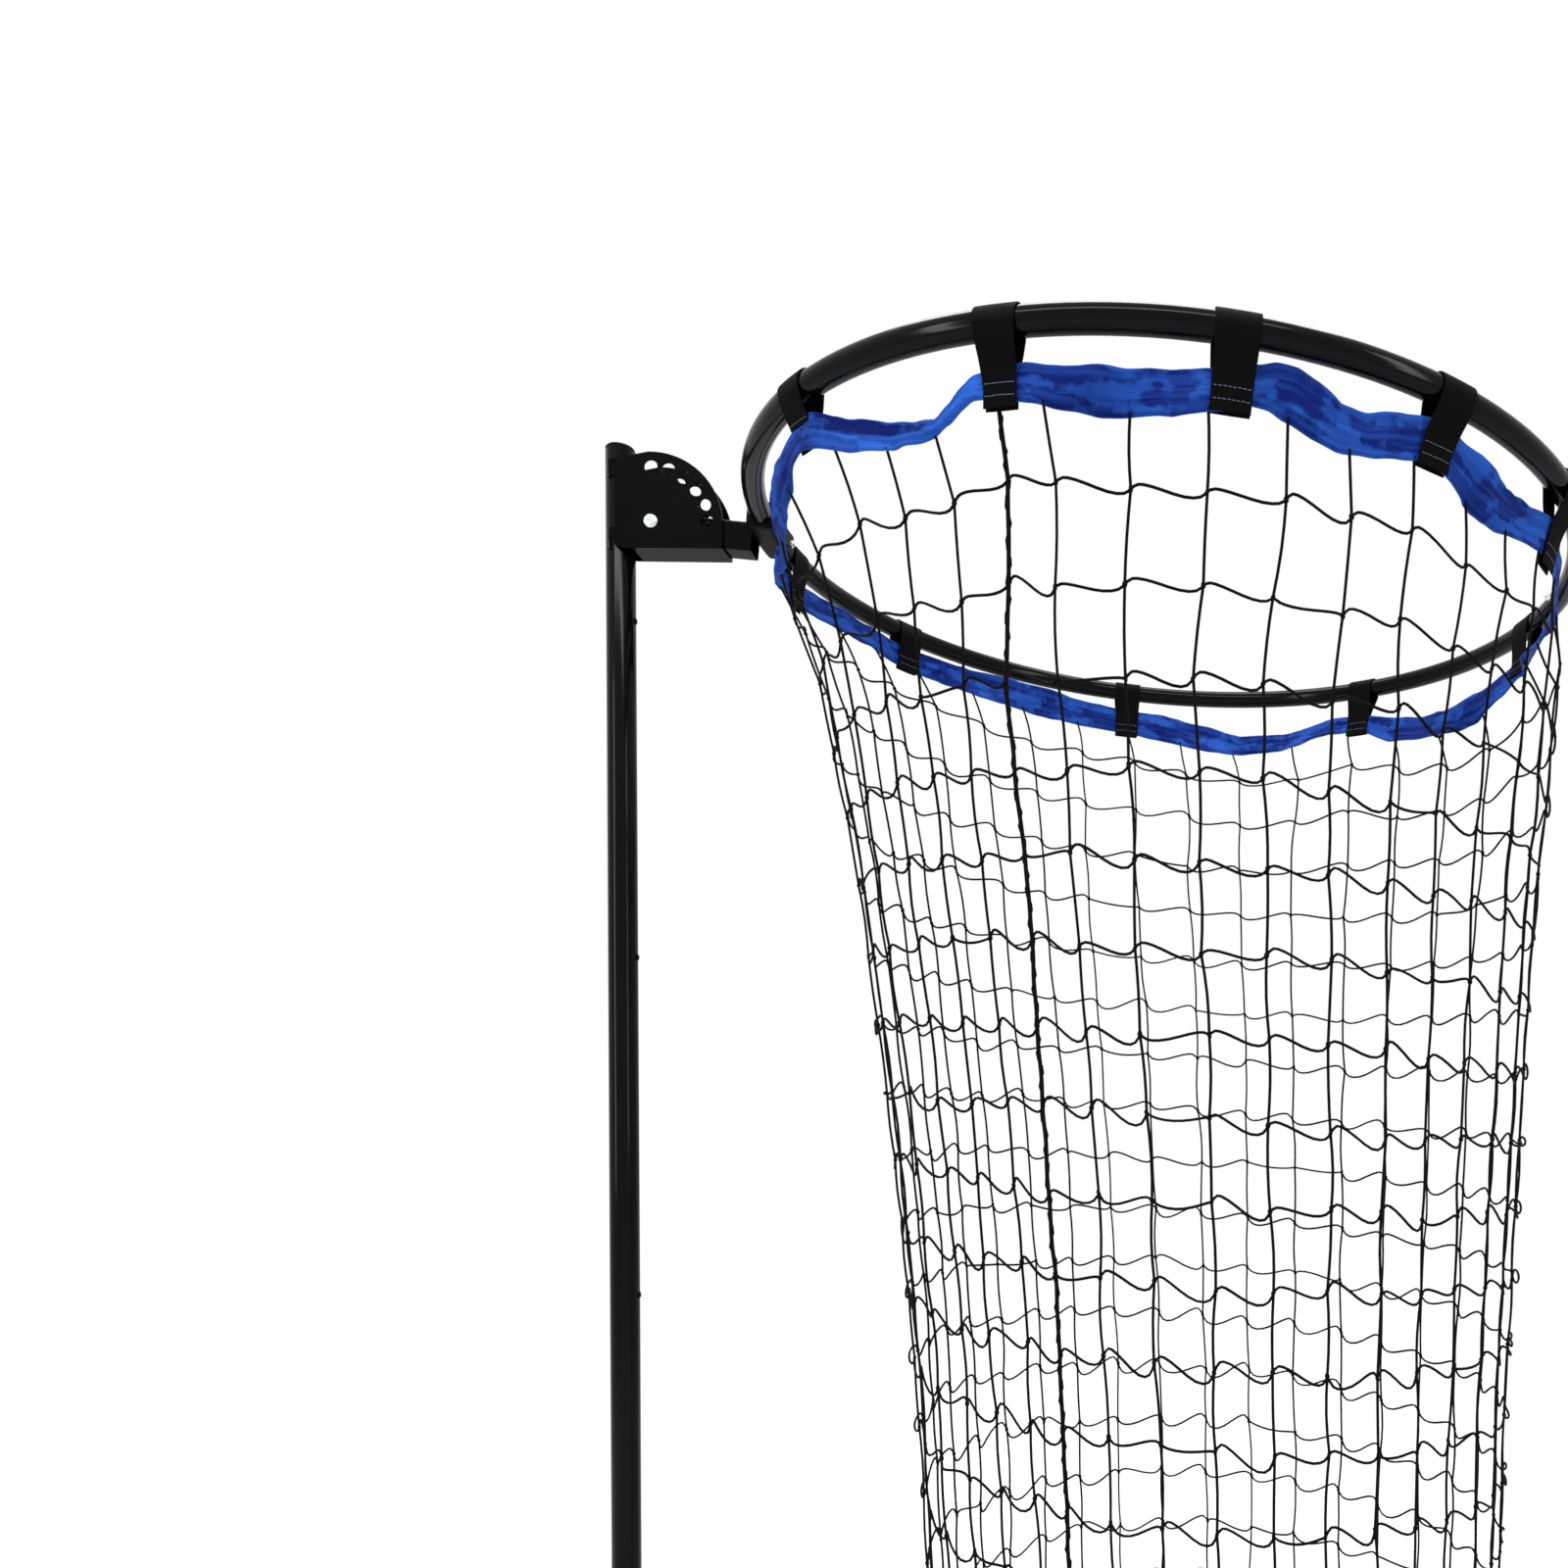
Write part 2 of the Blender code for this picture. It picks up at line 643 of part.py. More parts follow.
def build_hoop(arm):
    """Two bent half tubes that meet at the arm and at the far joint."""
    outer = HOOP_TUBE_RADIUS
    inner = outer - HOOP_TUBE_WALL
    start = HOOP_JOINT_ANGLE
    end = HOOP_JOINT_ANGLE + 360.0
    far = even_angles(start + HOOP_SLEEVE_HALF, 180.0 - SADDLE_HALF)
    near = even_angles(180.0 + SADDLE_HALF, end - HOOP_SLEEVE_HALF)
    far = [start + HOOP_SLIT, *far, 180.0 - HOOP_SLIT]
    near = [180.0 + HOOP_SLIT, *near, end - HOOP_SLIT]
    thing = add_object("hoop_tube_far", hoop_tube(far, outer, inner), black_steel(), arm)
    drill_hoop(thing, "cut_hoop_joint", HOOP_JOINT_ANGLE + HOOP_SCREW_HALF, arm)
    drill_hoop(thing, "cut_hoop_far_bolt", 180.0 - BOLT_ANGLE, arm)
    thing = add_object("hoop_tube_near", hoop_tube(near, outer, inner), black_steel(), arm)
    drill_hoop(thing, "cut_hoop_near_bolt", 180.0 + BOLT_ANGLE, arm)


def build_hoop_sleeves(arm):
    """Short tubes inside the hoop across its two joints."""
    outer = HOOP_TUBE_RADIUS - HOOP_TUBE_WALL - GAP
    for name, centre, half, holes in (
        ("hoop_sleeve_outer", HOOP_JOINT_ANGLE, HOOP_SLEEVE_HALF, (HOOP_SCREW_HALF,)),
        ("hoop_sleeve_arm", 180.0, SADDLE_HALF, (-BOLT_ANGLE, BOLT_ANGLE)),
    ):
        shape = hoop_tube((centre - half, centre, centre + half), outer, outer - HOOP_SLEEVE_WALL)
        thing = add_object(name, shape, black_steel(), arm)
        for n, hole in enumerate(holes):
            drill_hoop(thing, f"cut_{name}_{n + 1}", centre + hole, arm)


def build_saddle(arm):
    """A curved cradle that hugs the outer and lower sides of the hoop tube at the arm's end."""
    inner = HOOP_TUBE_RADIUS + GAP
    outer = inner + SADDLE_WALL
    turns = [SADDLE_FROM + (SADDLE_TO - SADDLE_FROM) * i / SADDLE_STEPS for i in range(SADDLE_STEPS + 1)]
    section = [(outer * math.cos(t), outer * math.sin(t)) for t in turns]
    section += [(inner * math.cos(t), inner * math.sin(t)) for t in reversed(turns)]
    rings = []
    for angle in (180.0 - SADDLE_HALF, 180.0, 180.0 + SADDLE_HALF):
        rings.append([hoop_point(angle, out, up) for out, up in section])
    thing = add_object("arm_saddle", loft(rings), black_plastic(), arm)
    for name, angle in (("near", 180.0 + BOLT_ANGLE), ("far", 180.0 - BOLT_ANGLE)):
        tool = radial_rod(angle, BOLT_RADIUS + RUNNING_GAP, 0.0, 2 * outer)
        cut(thing, cutter(f"cut_saddle_{name}", tool, arm))


def build_hoop_bolt(name, angle, head, arm):
    """A bolt across the hoop tube, its head this far out and its nut on the inner side."""
    nut = -(HOOP_TUBE_FLAT + HOOP_CHORD + GAP)
    end = nut - BOLT_NUT - BOLT_PAST_NUT
    profile = [
        (0.0, end),
        (BOLT_RADIUS, end),
        (BOLT_RADIUS, head),
        (BOLT_HEAD_RADIUS, head),
        (BOLT_HEAD_RADIUS, head + BOLT_HEAD * 0.4),
        (BOLT_HEAD_RADIUS * 0.7, head + BOLT_HEAD * 0.9),
        (0.0, head + BOLT_HEAD),
    ]
    place = radial_frame(angle)
    add_object(f"{name}_bolt", moved(turned(profile, BORE_STEPS), place), zinc(), arm)
    shape = moved(hexagon(BOLT_NUT_FLATS, nut - BOLT_NUT, nut), place)
    thing = add_object(f"{name}_nut", shape, zinc(), arm, False)
    bore = radial_rod(angle, BOLT_RADIUS + RUNNING_GAP, nut - 2 * BOLT_NUT, nut + GAP)
    cut(thing, cutter(f"cut_{name}_nut", bore, arm))


def build_hoop_bolts(arm):
    """Two bolts through the saddle and one through the far joint."""
    on_saddle = HOOP_TUBE_RADIUS + SADDLE_WALL + 2 * GAP - HOOP_CHORD / 2
    on_tube = HOOP_TUBE_FLAT + GAP - HOOP_CHORD / 2
    build_hoop_bolt("saddle_near", 180.0 + BOLT_ANGLE, on_saddle, arm)
    build_hoop_bolt("saddle_far", 180.0 - BOLT_ANGLE, on_saddle, arm)
    build_hoop_bolt("joint", HOOP_JOINT_ANGLE + HOOP_SCREW_HALF, on_tube, arm)


def hem_nodes():
    """Angle, pull-in and sag at each bend of the hem: flat under each strap, two low points between."""
    nodes = []
    following = [*STRAP_ANGLES[1:], STRAP_ANGLES[0] + 360.0]
    for strap, after in zip(STRAP_ANGLES, following):
        start = strap + HEM_FLAT_HALF
        span = after - HEM_FLAT_HALF - start
        share = min(1.0, span / HEM_FULL_SAG_SPAN)
        nodes.append((strap - HEM_FLAT_HALF, 0.0, 0.0))
        nodes.append((start, 0.0, 0.0))
        nodes.append((start + span / 3, HEM_PULL_IN * share, HEM_SAG * share))
        nodes.append((start + 2 * span / 3, HEM_PULL_IN * share, HEM_SAG * share))
    return nodes


def build_hem(arm):
    """A closed band of tape that hangs under the hoop and sags between the straps."""
    rings = []
    half = HEM_THICK / 2
    for angle, pull, sag in hem_nodes():
        top = -HEM_DROP - sag
        low = top - HEM_HEIGHT
        corners = ((half, top), (-half, top), (-half, low), (half, low))
        rings.append([hoop_point(angle, out - pull, up) for out, up in corners])
    add_object("hem_band", loft(rings, loop=True), blue_tape(), arm, False)


def strap_face(thick):
    """Half a strap's outline, from over the tube down its outer leg, this far from its inner face."""
    shut = HEM_THICK / 2 + STRAP_SLACK + thick
    out = HOOP_TUBE_RADIUS + STRAP_SLACK + thick
    up = HOOP_TUBE_RADIUS + STRAP_LIFT + thick
    over = [(out * x, up * z) for x, z in arc((0.0, 0.0), 1.0, 90.0, 0.0, 5)]
    end = -HEM_DROP - HEM_HEIGHT - STRAP_PAST_HEM
    return [*over, (out, -STRAP_NARROWS), (shut, STRAP_SHUTS - HEM_DROP), (shut, end)]


def build_straps(arm):
    """Webbing loops over the hoop tube, their two legs meeting over the hem."""
    inner = strap_face(0.0)
    outer = strap_face(STRAP_THICK)
    outline = outer + list(reversed(inner))
    outline += [(-x, z) for x, z in inner[1:]] + [(-x, z) for x, z in reversed(outer[1:])]
    for n, angle in enumerate(STRAP_ANGLES):
        a = math.radians(angle)
        along = Vector((-math.sin(a), math.cos(a), 0.0)) * STRAP_WIDTH / 2
        rings = [[hoop_point(angle, out, up) + side * along for out, up in outline] for side in (-1.0, 1.0)]
        add_object(f"strap_{n + 1:02d}", loft(rings), webbing(), arm, False)


def net_radius(depth):
    """The netting's radius at this depth below its top."""
    for (d0, i0), (d1, i1) in zip(NET_INSETS, NET_INSETS[1:]):
        if depth <= d1:
            return HOOP_RADIUS - i0 - (i1 - i0) * (depth - d0) / (d1 - d0)
    return HOOP_RADIUS - NET_INSETS[-1][1]


def net_centre_x(depth):
    """Where the middle of the netting lies at this depth, easing outwards from the hoop's centre."""
    share = min(1.0, depth / NET_SIDEWAYS_DEPTH)
    return HOOP_CENTRE_X + NET_SIDEWAYS * share * (2.0 - share)


def net_column_angle(column):
    return math.radians(STRAP_ANGLES[0]) + TAU * column / NET_COLUMNS


def net_top_ring(arm):
    """Points along the hem's lower edge, two for each bend of a strap's stretch."""
    place = Matrix.Translation(arm.location) @ arm.rotation_euler.to_matrix().to_4x4()
    drop = HEM_DROP + HEM_HEIGHT + GAP + NET_TWINE / 2
    return [place @ hoop_point(angle, -pull, -drop - sag) for angle, pull, sag in hem_nodes()]


def net_row(share, top_ring):
    """One ring of knots: high ones follow the hem above them, low ones are level and evenly spaced."""
    level = NET_BOTTOM_HEIGHT + NET_LENGTH
    depth = share * NET_LENGTH
    keep = max(0.0, 1.0 - depth / NET_LEVEL_DEPTH)
    radius = net_radius(depth)
    ring = []
    for column in range(NET_COLUMNS):
        above = (top_ring[2 * column] + top_ring[2 * column + 1]) / 2
        even = net_column_angle(column)
        stray = math.atan2(above.y, above.x - HOOP_CENTRE_X) - even
        a = even + math.remainder(stray, TAU) * keep
        z = level - depth + (above.z - level) * keep
        ring.append(Vector((net_centre_x(depth) + radius * math.cos(a), radius * math.sin(a), z)))
    return ring


def build_net(arm):
    """Square mesh netting as one tube-shaped lattice."""
    shape = bmesh.new()
    top_ring = net_top_ring(arm)
    top = [shape.verts.new(point) for point in top_ring]
    rows = []
    for r in range(1, NET_ROWS + 1):
        rows.append([shape.verts.new(point) for point in net_row(r / NET_ROWS, top_ring)])
    for c in range(NET_COLUMNS):
        after = (c + 1) % NET_COLUMNS
        hem_span = [top[(2 * c + k) % len(top)] for k in range(3)]
        shape.faces.new((rows[0][after], rows[0][c], *hem_span))
        for upper, lower in zip(rows, rows[1:]):
            shape.faces.new((upper[c], upper[after], lower[after], lower[c]))
    thing = add_object("net_mesh", shape, black_twine(), None, False)
    wires = thing.modifiers.new("wires", "WIREFRAME")
    wires.thickness = NET_TWINE
    wires.offset = 0.0
    wires.use_boundary = True
    wires.use_replace = True
    wires.use_even_offset = False


def build_net_bottom():
    """The border cord under the netting's last row."""
    radius = net_radius(NET_LENGTH) - NET_BORDER_INSET
    middle = net_centre_x(NET_LENGTH)
    z = NET_BOTTOM_HEIGHT - NET_BOTTOM_CORD * math.cos(math.pi / 6)
    rings = []
    for column in range(NET_COLUMNS):
        a = net_column_angle(column)
        section = arc((radius, z), NET_BOTTOM_CORD, 0.0, 300.0, 5)
        rings.append([Vector((middle + r * math.cos(a), r * math.sin(a), up)) for r, up in section])
    add_object("net_bottom_cord", loft(rings, loop=True), black_twine())


def build_outer_tube():
    """The lower mast tube, standing on the base flange, with the clamp's screw hole near its top."""
    low = PLATE_SEAT + FLANGE + GAP
    shape = tube(OUTER_RADIUS, OUTER_RADIUS - OUTER_WALL, low, OUTER_TOP)
    thing = add_object("mast_outer_tube", shape, black_steel())
    hole = along_x(rod(CLAMP_SCREW_RADIUS + RUNNING_GAP, -2 * OUTER_RADIUS, 0.0))
    cut(thing, cutter("cut_outer_clamp", shifted(hole, z=CLAMP_HEIGHT)))


def knob_ring(x, scale):
    """The lobed knob's outline, this far along its screw."""
    steps = KNOB_LOBES * KNOB_LOBE_STEPS
    ring = []
    for i in range(steps):
        a = TAU * i / steps
        radius = KNOB_RADIUS * scale * (1.0 + KNOB_LOBE_DEPTH * math.cos(KNOB_LOBES * a))
        ring.append(Vector((x, radius * math.cos(a), radius * math.sin(a))))
    return ring


def build_clamp():
    """A boss with a threaded hole, and the lobed knob whose screw presses on the upper tube."""
    start = OUTER_RADIUS + GAP
    shape = tube(CLAMP_BOSS_RADIUS, CLAMP_SCREW_RADIUS + RUNNING_GAP, start, start + CLAMP_BOSS_LENGTH, 20)
    add_object("clamp_boss", shifted(half_turn(along_x(shape)), z=CLAMP_HEIGHT), black_steel())
    low = start + CLAMP_BOSS_LENGTH + CLAMP_SCREW_BARE
    high = low + KNOB_THICK
    shape = loft([
        knob_ring(low, KNOB_EDGE_SCALE),
        knob_ring(low + KNOB_EDGE, 1.0),
        knob_ring(high - KNOB_EDGE, 1.0),
        knob_ring(high, KNOB_EDGE_SCALE),
    ])
    knob = add_object("clamp_knob", shifted(half_turn(shape), z=CLAMP_HEIGHT), black_plastic())
    stem = along_x(rod(CLAMP_SCREW_RADIUS, MAST_RADIUS + GAP, low + KNOB_EDGE))
    cut(knob, cutter("join_clamp_stem", shifted(half_turn(stem), z=CLAMP_HEIGHT)), "UNION")


def build_base_socket():
    """A short tube round the mast's foot on a square flange bolted to the spine."""
    top = PLATE_SEAT + FLANGE
    inner = OUTER_RADIUS + GAP
    flange = box((-FLANGE_HALF, -FLANGE_HALF, PLATE_SEAT), (FLANGE_HALF, FLANGE_HALF, top))
    thing = add_object("mast_socket", flange, black_steel())
    ring = tube(inner + SOCKET_WALL, inner, top - FLANGE / 2, SOCKET_TOP)
    cut(thing, cutter("join_socket_tube", ring), "UNION")
    for name, x in (("back", -FLANGE_BOLT_X), ("front", FLANGE_BOLT_X)):
        hole = rod(BOLT_RADIUS + RUNNING_GAP, BEAM_TOP - BASE_BOLT_DEPTH, top + FLANGE)
        cut(thing, cutter(f"cut_flange_{name}", shifted(hole, x)))
        build_base_bolt(f"flange_bolt_{name}", x, top + GAP)


def build_spine():
    """The middle beam along the floor, from cross beam to cross beam."""
    back = CROSS_BACK_X + BEAM / 2 + GAP
    front = CROSS_FRONT_X - BEAM / 2 - GAP
    shape = box_tube(BEAM / 2, FOOT_HEIGHT, BEAM_TOP, BEAM_CORNER, BEAM_WALL, back, front)
    thing = add_object("base_spine", shape, black_steel())
    for name, x in (("back", -FLANGE_BOLT_X), ("front", FLANGE_BOLT_X)):
        hole = rod(BOLT_RADIUS + RUNNING_GAP, BEAM_TOP - BEAM / 2, BEAM_TOP + BEAM)
        cut(thing, cutter(f"cut_spine_{name}", shifted(hole, x)))
    build_foot("base_foot_mast", 0.0, 0.0)


def build_cross_beam(name, x, inward):
    """A beam across the base with its end plugs, its feet and the bolted plate that joins it to the spine."""
    shape = box_tube(BEAM / 2, FOOT_HEIGHT, BEAM_TOP, BEAM_CORNER, BEAM_WALL, -CROSS_HALF, CROSS_HALF)
    shape = shifted(moved(shape, Matrix.Rotation(math.pi / 2, 4, "Z")), x)
    beam = add_object(f"base_cross_{name}", shape, black_steel())
    ends = sorted((x - inward * BEAM / 2, x + inward * JOINT_PLATE_REACH))
    half = BEAM / 2 - JOINT_PLATE_INSET
    top = PLATE_SEAT + JOINT_PLATE
    shape = box((ends[0], -half, PLATE_SEAT), (ends[1], half, top))
    plate = add_object(f"base_plate_{name}", shape, black_steel())
    hole = rod(BOLT_RADIUS + RUNNING_GAP, BEAM_TOP - BEAM / 2, top + JOINT_PLATE)
    tool = cutter(f"cut_base_bolt_{name}", shifted(hole, x))
    cut(plate, tool)
    cut(beam, tool)
    build_base_bolt(f"base_bolt_{name}", x, top + GAP)
    for end, side in (("near", -1.0), ("far", 1.0)):
        build_end_plug(f"base_plug_{name}_{end}", x, side)
        build_foot(f"base_foot_{name}_{end}", x, side * (CROSS_HALF - FOOT_END_INSET - FOOT_LENGTH / 2))


def build_end_plug(name, x, side):
    """A plastic plug closing a cross beam's end."""
    middle = FOOT_HEIGHT + BEAM / 2
    half = BEAM / 2 - BEAM_WALL - GAP
    head = rounded_section(BEAM / 2, -BEAM / 2, BEAM / 2, BEAM_CORNER)
    stem = rounded_section(half, -half, half, BEAM_CORNER / 2)
    face = CROSS_HALF + GAP
    rings = []
    for reach, section in ((face + PLUG_HEAD, head), (face, head), (face, stem), (face - PLUG_DEPTH, stem)):
        rings.append([Vector((x + y, side * reach, middle + z)) for y, z in section])
    add_object(name, loft(rings), black_plastic(), None, False)


def build_foot(name, x, y):
    """A rubber pad under a beam."""
    half = BEAM / 2 - FOOT_SIDE_INSET
    long = FOOT_LENGTH / 2
    shape = box((x - half, y - long, 0.0), (x + half, y + long, FOOT_HEIGHT - GAP))
    add_object(name, shape, black_rubber(), None, False)


def build_base_bolt(name, x, seat):
    end = BEAM_TOP - BASE_BOLT_DEPTH
    profile = [
        (0.0, end),
        (BOLT_RADIUS, end),
        (BOLT_RADIUS, seat),
        (BOLT_HEAD_RADIUS, seat),
        (BOLT_HEAD_RADIUS, seat + BOLT_HEAD),
        (0.0, seat + BOLT_HEAD),
    ]
    add_object(name, shifted(turned(profile, BORE_STEPS), x), zinc())


def build_mast_group():
    pivot = add_frame("pivot_frame", (PIVOT_X, 0.0, PIVOT_Z), 0.0)
    build_mast_tube()
    build_mast_buttons()
    build_mast_cap()
    build_bracket(pivot)
    build_pivot_screw(pivot)
    build_pivot_nut(pivot)


def build_arm_group():
    arm = add_frame("arm_frame", (PIVOT_X, 0.0, PIVOT_Z), HOOP_DROOP)
    build_pivot_spacers(arm)
    build_arm(arm)
    build_tilt_buttons(arm)
    build_tilt_spring(arm)
    build_hoop(arm)
    build_hoop_sleeves(arm)
    build_saddle(arm)
    build_hoop_bolts(arm)
    build_hem(arm)
    build_straps(arm)
    build_net(arm)
    build_net_bottom()


def build_base_group():
    build_outer_tube()
    build_clamp()
    build_base_socket()
    build_spine()
    build_cross_beam("back", CROSS_BACK_X, 1.0)
    build_cross_beam("front", CROSS_FRONT_X, -1.0)


clear_scene()
build_mast_group()
build_arm_group()
build_base_group()
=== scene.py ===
"""Volleyball practice net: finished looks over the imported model."""

import json
import math
import random

import bmesh
import bpy
from mathutils import Matrix, Vector, noise


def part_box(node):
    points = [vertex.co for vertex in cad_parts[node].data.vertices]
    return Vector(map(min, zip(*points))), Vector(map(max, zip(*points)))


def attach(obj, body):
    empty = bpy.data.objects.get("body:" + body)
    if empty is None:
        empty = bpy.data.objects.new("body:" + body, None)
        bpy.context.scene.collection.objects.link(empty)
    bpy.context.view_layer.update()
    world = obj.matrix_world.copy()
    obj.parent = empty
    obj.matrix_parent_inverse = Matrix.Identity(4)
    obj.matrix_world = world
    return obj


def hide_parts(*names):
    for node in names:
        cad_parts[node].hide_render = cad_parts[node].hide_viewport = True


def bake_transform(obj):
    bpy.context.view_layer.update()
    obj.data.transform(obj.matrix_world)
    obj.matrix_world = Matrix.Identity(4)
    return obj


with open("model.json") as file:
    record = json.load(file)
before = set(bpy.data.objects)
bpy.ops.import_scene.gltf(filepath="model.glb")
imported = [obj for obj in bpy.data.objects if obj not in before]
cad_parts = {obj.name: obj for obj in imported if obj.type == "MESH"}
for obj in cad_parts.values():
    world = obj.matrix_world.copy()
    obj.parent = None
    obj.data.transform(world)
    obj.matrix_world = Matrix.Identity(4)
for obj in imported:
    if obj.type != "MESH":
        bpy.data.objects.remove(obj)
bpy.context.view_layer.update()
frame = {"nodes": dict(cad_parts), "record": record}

TAU = 2 * math.pi

# Sizes that the CAD model uses, in metres
HOOP_HEIGHT = 2.35
HOOP_RADIUS = 0.55
HOOP_DROOP = math.radians(5.0)
HOOP_TUBE_RADIUS = 0.0143
HOOP_JOINT_ANGLE = -6.0
HOOP_JOINT_SLIT = 0.03
MAST_RADIUS = 0.019
MAST_WALL = 0.0015
OUTER_RADIUS = 0.023
OUTER_WALL = 0.0036
PIVOT_X = 0.049
ARM_REACH = 0.1526
ARM_RISE_TO_HOOP = 0.0123
HOOP_REACH = ARM_REACH + HOOP_RADIUS
HOOP_CENTRE_X = PIVOT_X + HOOP_REACH * math.cos(HOOP_DROOP) + ARM_RISE_TO_HOOP * math.sin(HOOP_DROOP)
PIVOT_Z = HOOP_HEIGHT + HOOP_REACH * math.sin(HOOP_DROOP) - ARM_RISE_TO_HOOP * math.cos(HOOP_DROOP)
BRACKET_BOTTOM = -0.0364
BRACKET_SHOULDER = 0.084
UPPER_TAB_LOW = 0.061
LOWER_TAB_HIGH = -0.006
TAB_REACH = 0.0075
NET_BOTTOM_HEIGHT = 0.56

# The block between arm and hoop: half its length in degrees round the hoop, the side of its square,
# how far its middle lies outside the tube's, and how round its long edges are
SADDLE_HALF = 5.6
SADDLE_SIDE = 0.0360
SADDLE_OUT = 0.0010
SADDLE_ROUND = 0.0060
SADDLE_STEPS = 8

# Steps round the hoop's tube, degrees a step along it, steps round the mast's tubes, and how round
# their rims are
TUBE_SIDES = 40
HOOP_STEP = 2.0
MAST_SIDES = 56
RIM_ROUND = 0.0005

# Weld beads along the bracket's tabs: their radius and points, how far past the tab's edge they lie,
# how much they waver, and how far they sink into the mast
WELD_RADIUS = 0.0021
WELD_POINTS = 13
WELD_OUT = 0.0012
WELD_WAVER = 0.0004
WELD_SINK = 0.0002

# Straps: angle round the hoop, length under the tube's middle, lean of the lower end, width there,
# and how far the lower end sits inside the hem
STRAPS = (
    (-139.0, 0.055, 0.2, 0.038, 0.0035),
    (-109.5, 0.0765, 0.1, 0.035, 0.0),
    (-85.3, 0.0740, 0.2, 0.041, 0.0),
    (-60.4, 0.0735, -0.7, 0.041, 0.0),
    (-35.6, 0.088, 0.1, 0.041, 0.0),
    (8.0, 0.072, 0.2, 0.041, 0.0),
    (48.6, 0.084, 0.0, 0.040, 0.0),
    (95.4, 0.085, -0.2, 0.040, 0.0),
    (140.5, 0.066, 0.1, 0.040, 0.0),
    (171.0, 0.074, 0.0, 0.041, 0.0),
)
# The webbing's width and thickness, and its gaps to the tube and to the hem
STRAP_WIDTH = 0.045
STRAP_THICK = 0.0017
STRAP_OFF_TUBE = 0.0006
STRAP_OFF_HEM = 0.0012
# How much further out a strap's leg lies for each metre that it rises
LEG_LEAN = 0.17
# Where the strap's map crosses the top of the tube, in metres from its outer end
STRAP_MIDDLE = 0.106
# A leg's stretch under the tube over which its width, lean and crown come in
STRAP_TAPER = 0.06
# A lean of 1 in metres, the most that a lower end strays sideways, and the bulge of its middle
STRAP_LEAN = 0.010
STRAP_SWAY = 0.0015
STRAP_CROWN = 0.0006
# Stitches: the rows' heights over the strap's lower end, stitches in a row, a row's share of the
# strap's width, a stitch's half length, half width and half height, how far its middle stands off
# the webbing, and how far it strays up or down
STITCH_ROWS = (0.0105, 0.0215)
STITCHES = 8
STITCH_ROW_SHARE = 0.93
STITCH_HALF_LONG = 0.0022
STITCH_HALF_WIDE = 0.00050
STITCH_HALF_HIGH = 0.00045
STITCH_PROUD = 0.0003
STITCH_STRAY = 0.0002

# Hem tape: angle, drop of its upper edge and drop of its lower edge under the hoop tube's middle
HEM = (
    (-139.0, 0.034, 0.062),
    (-136.4, 0.030, 0.067),
    (-129.5, 0.051, 0.084),
    (-123.2, 0.065, 0.093),
    (-119.5, 0.072, 0.095),
    (-117.5, 0.075, 0.093),
    (-115.8, 0.064, 0.084),
    (-114.0, 0.050, 0.072),
    (-112.6, 0.043, 0.066),
    (-109.5, 0.040, 0.067),
    (-106.5, 0.036, 0.072),
    (-101.0, 0.041, 0.077),
    (-96.0, 0.041, 0.080),
    (-91.0, 0.037, 0.080),
    (-85.5, 0.036, 0.072),
    (-83.0, 0.027, 0.064),
    (-80.9, 0.022, 0.064),
    (-78.6, 0.022, 0.070),
    (-76.0, 0.027, 0.078),
    (-73.0, 0.037, 0.084),
    (-70.0, 0.039, 0.082),
    (-66.0, 0.031, 0.075),
    (-62.5, 0.027, 0.069),
    (-60.0, 0.029, 0.071),
    (-56.5, 0.035, 0.080),
    (-52.5, 0.042, 0.087),
    (-48.0, 0.046, 0.090),
    (-42.0, 0.041, 0.084),
    (-36.0, 0.038, 0.078),
    (-30.0, 0.043, 0.082),
    (-22.0, 0.055, 0.094),
    (-13.0, 0.064, 0.101),
    (-4.0, 0.060, 0.097),
    (2.0, 0.048, 0.085),
    (8.0, 0.042, 0.078),
    (13.0, 0.056, 0.096),
    (18.0, 0.072, 0.122),
    (25.0, 0.082, 0.122),
    (33.0, 0.078, 0.118),
    (40.0, 0.066, 0.108),
    (48.6, 0.046, 0.076),
    (54.0, 0.048, 0.078),
    (64.0, 0.074, 0.106),
    (72.0, 0.078, 0.112),
    (80.0, 0.056, 0.104),
    (88.0, 0.040, 0.088),
    (95.4, 0.034, 0.078),
    (103.0, 0.030, 0.078),
    (112.0, 0.024, 0.076),
    (121.0, 0.022, 0.072),
    (131.0, 0.023, 0.065),
    (140.5, 0.024, 0.062),
    (150.0, 0.022, 0.056),
    (160.0, 0.024, 0.060),
    (171.0, 0.030, 0.066),
    (181.0, 0.044, 0.082),
    (192.0, 0.060, 0.098),
    (205.0, 0.062, 0.100),
    (214.0, 0.050, 0.086),
)
# Where the hem's map starts, its flat height, its thickness, and its steps round and up
HEM_START = HEM[0][0]
HEM_HEIGHT = 0.038
HEM_THICK = 0.0016
HEM_STATIONS = 720
HEM_ROWS = 8
# One over the length of the hem's map
HEM_TURN_A_METRE = 0.2894

# Netting: how far inside the hoop's circle it lies, and how far off the hoop's centre, by depth
NET_INSETS = (
    (0.00, 0.016),
    (0.05, 0.038),
    (0.10, 0.054),
    (0.20, 0.066),
    (0.30, 0.082),
    (0.40, 0.094),
    (0.60, 0.115),
    (0.80, 0.133),
    (1.00, 0.148),
    (1.24, 0.160),
    (1.80, 0.178),
)
NET_SIDEWAYS = (
    (0.00, 0.000),
    (0.05, 0.013),
    (0.10, 0.021),
    (0.20, 0.028),
    (0.40, 0.035),
    (0.60, 0.041),
    (0.80, 0.046),
    (1.20, 0.050),
)
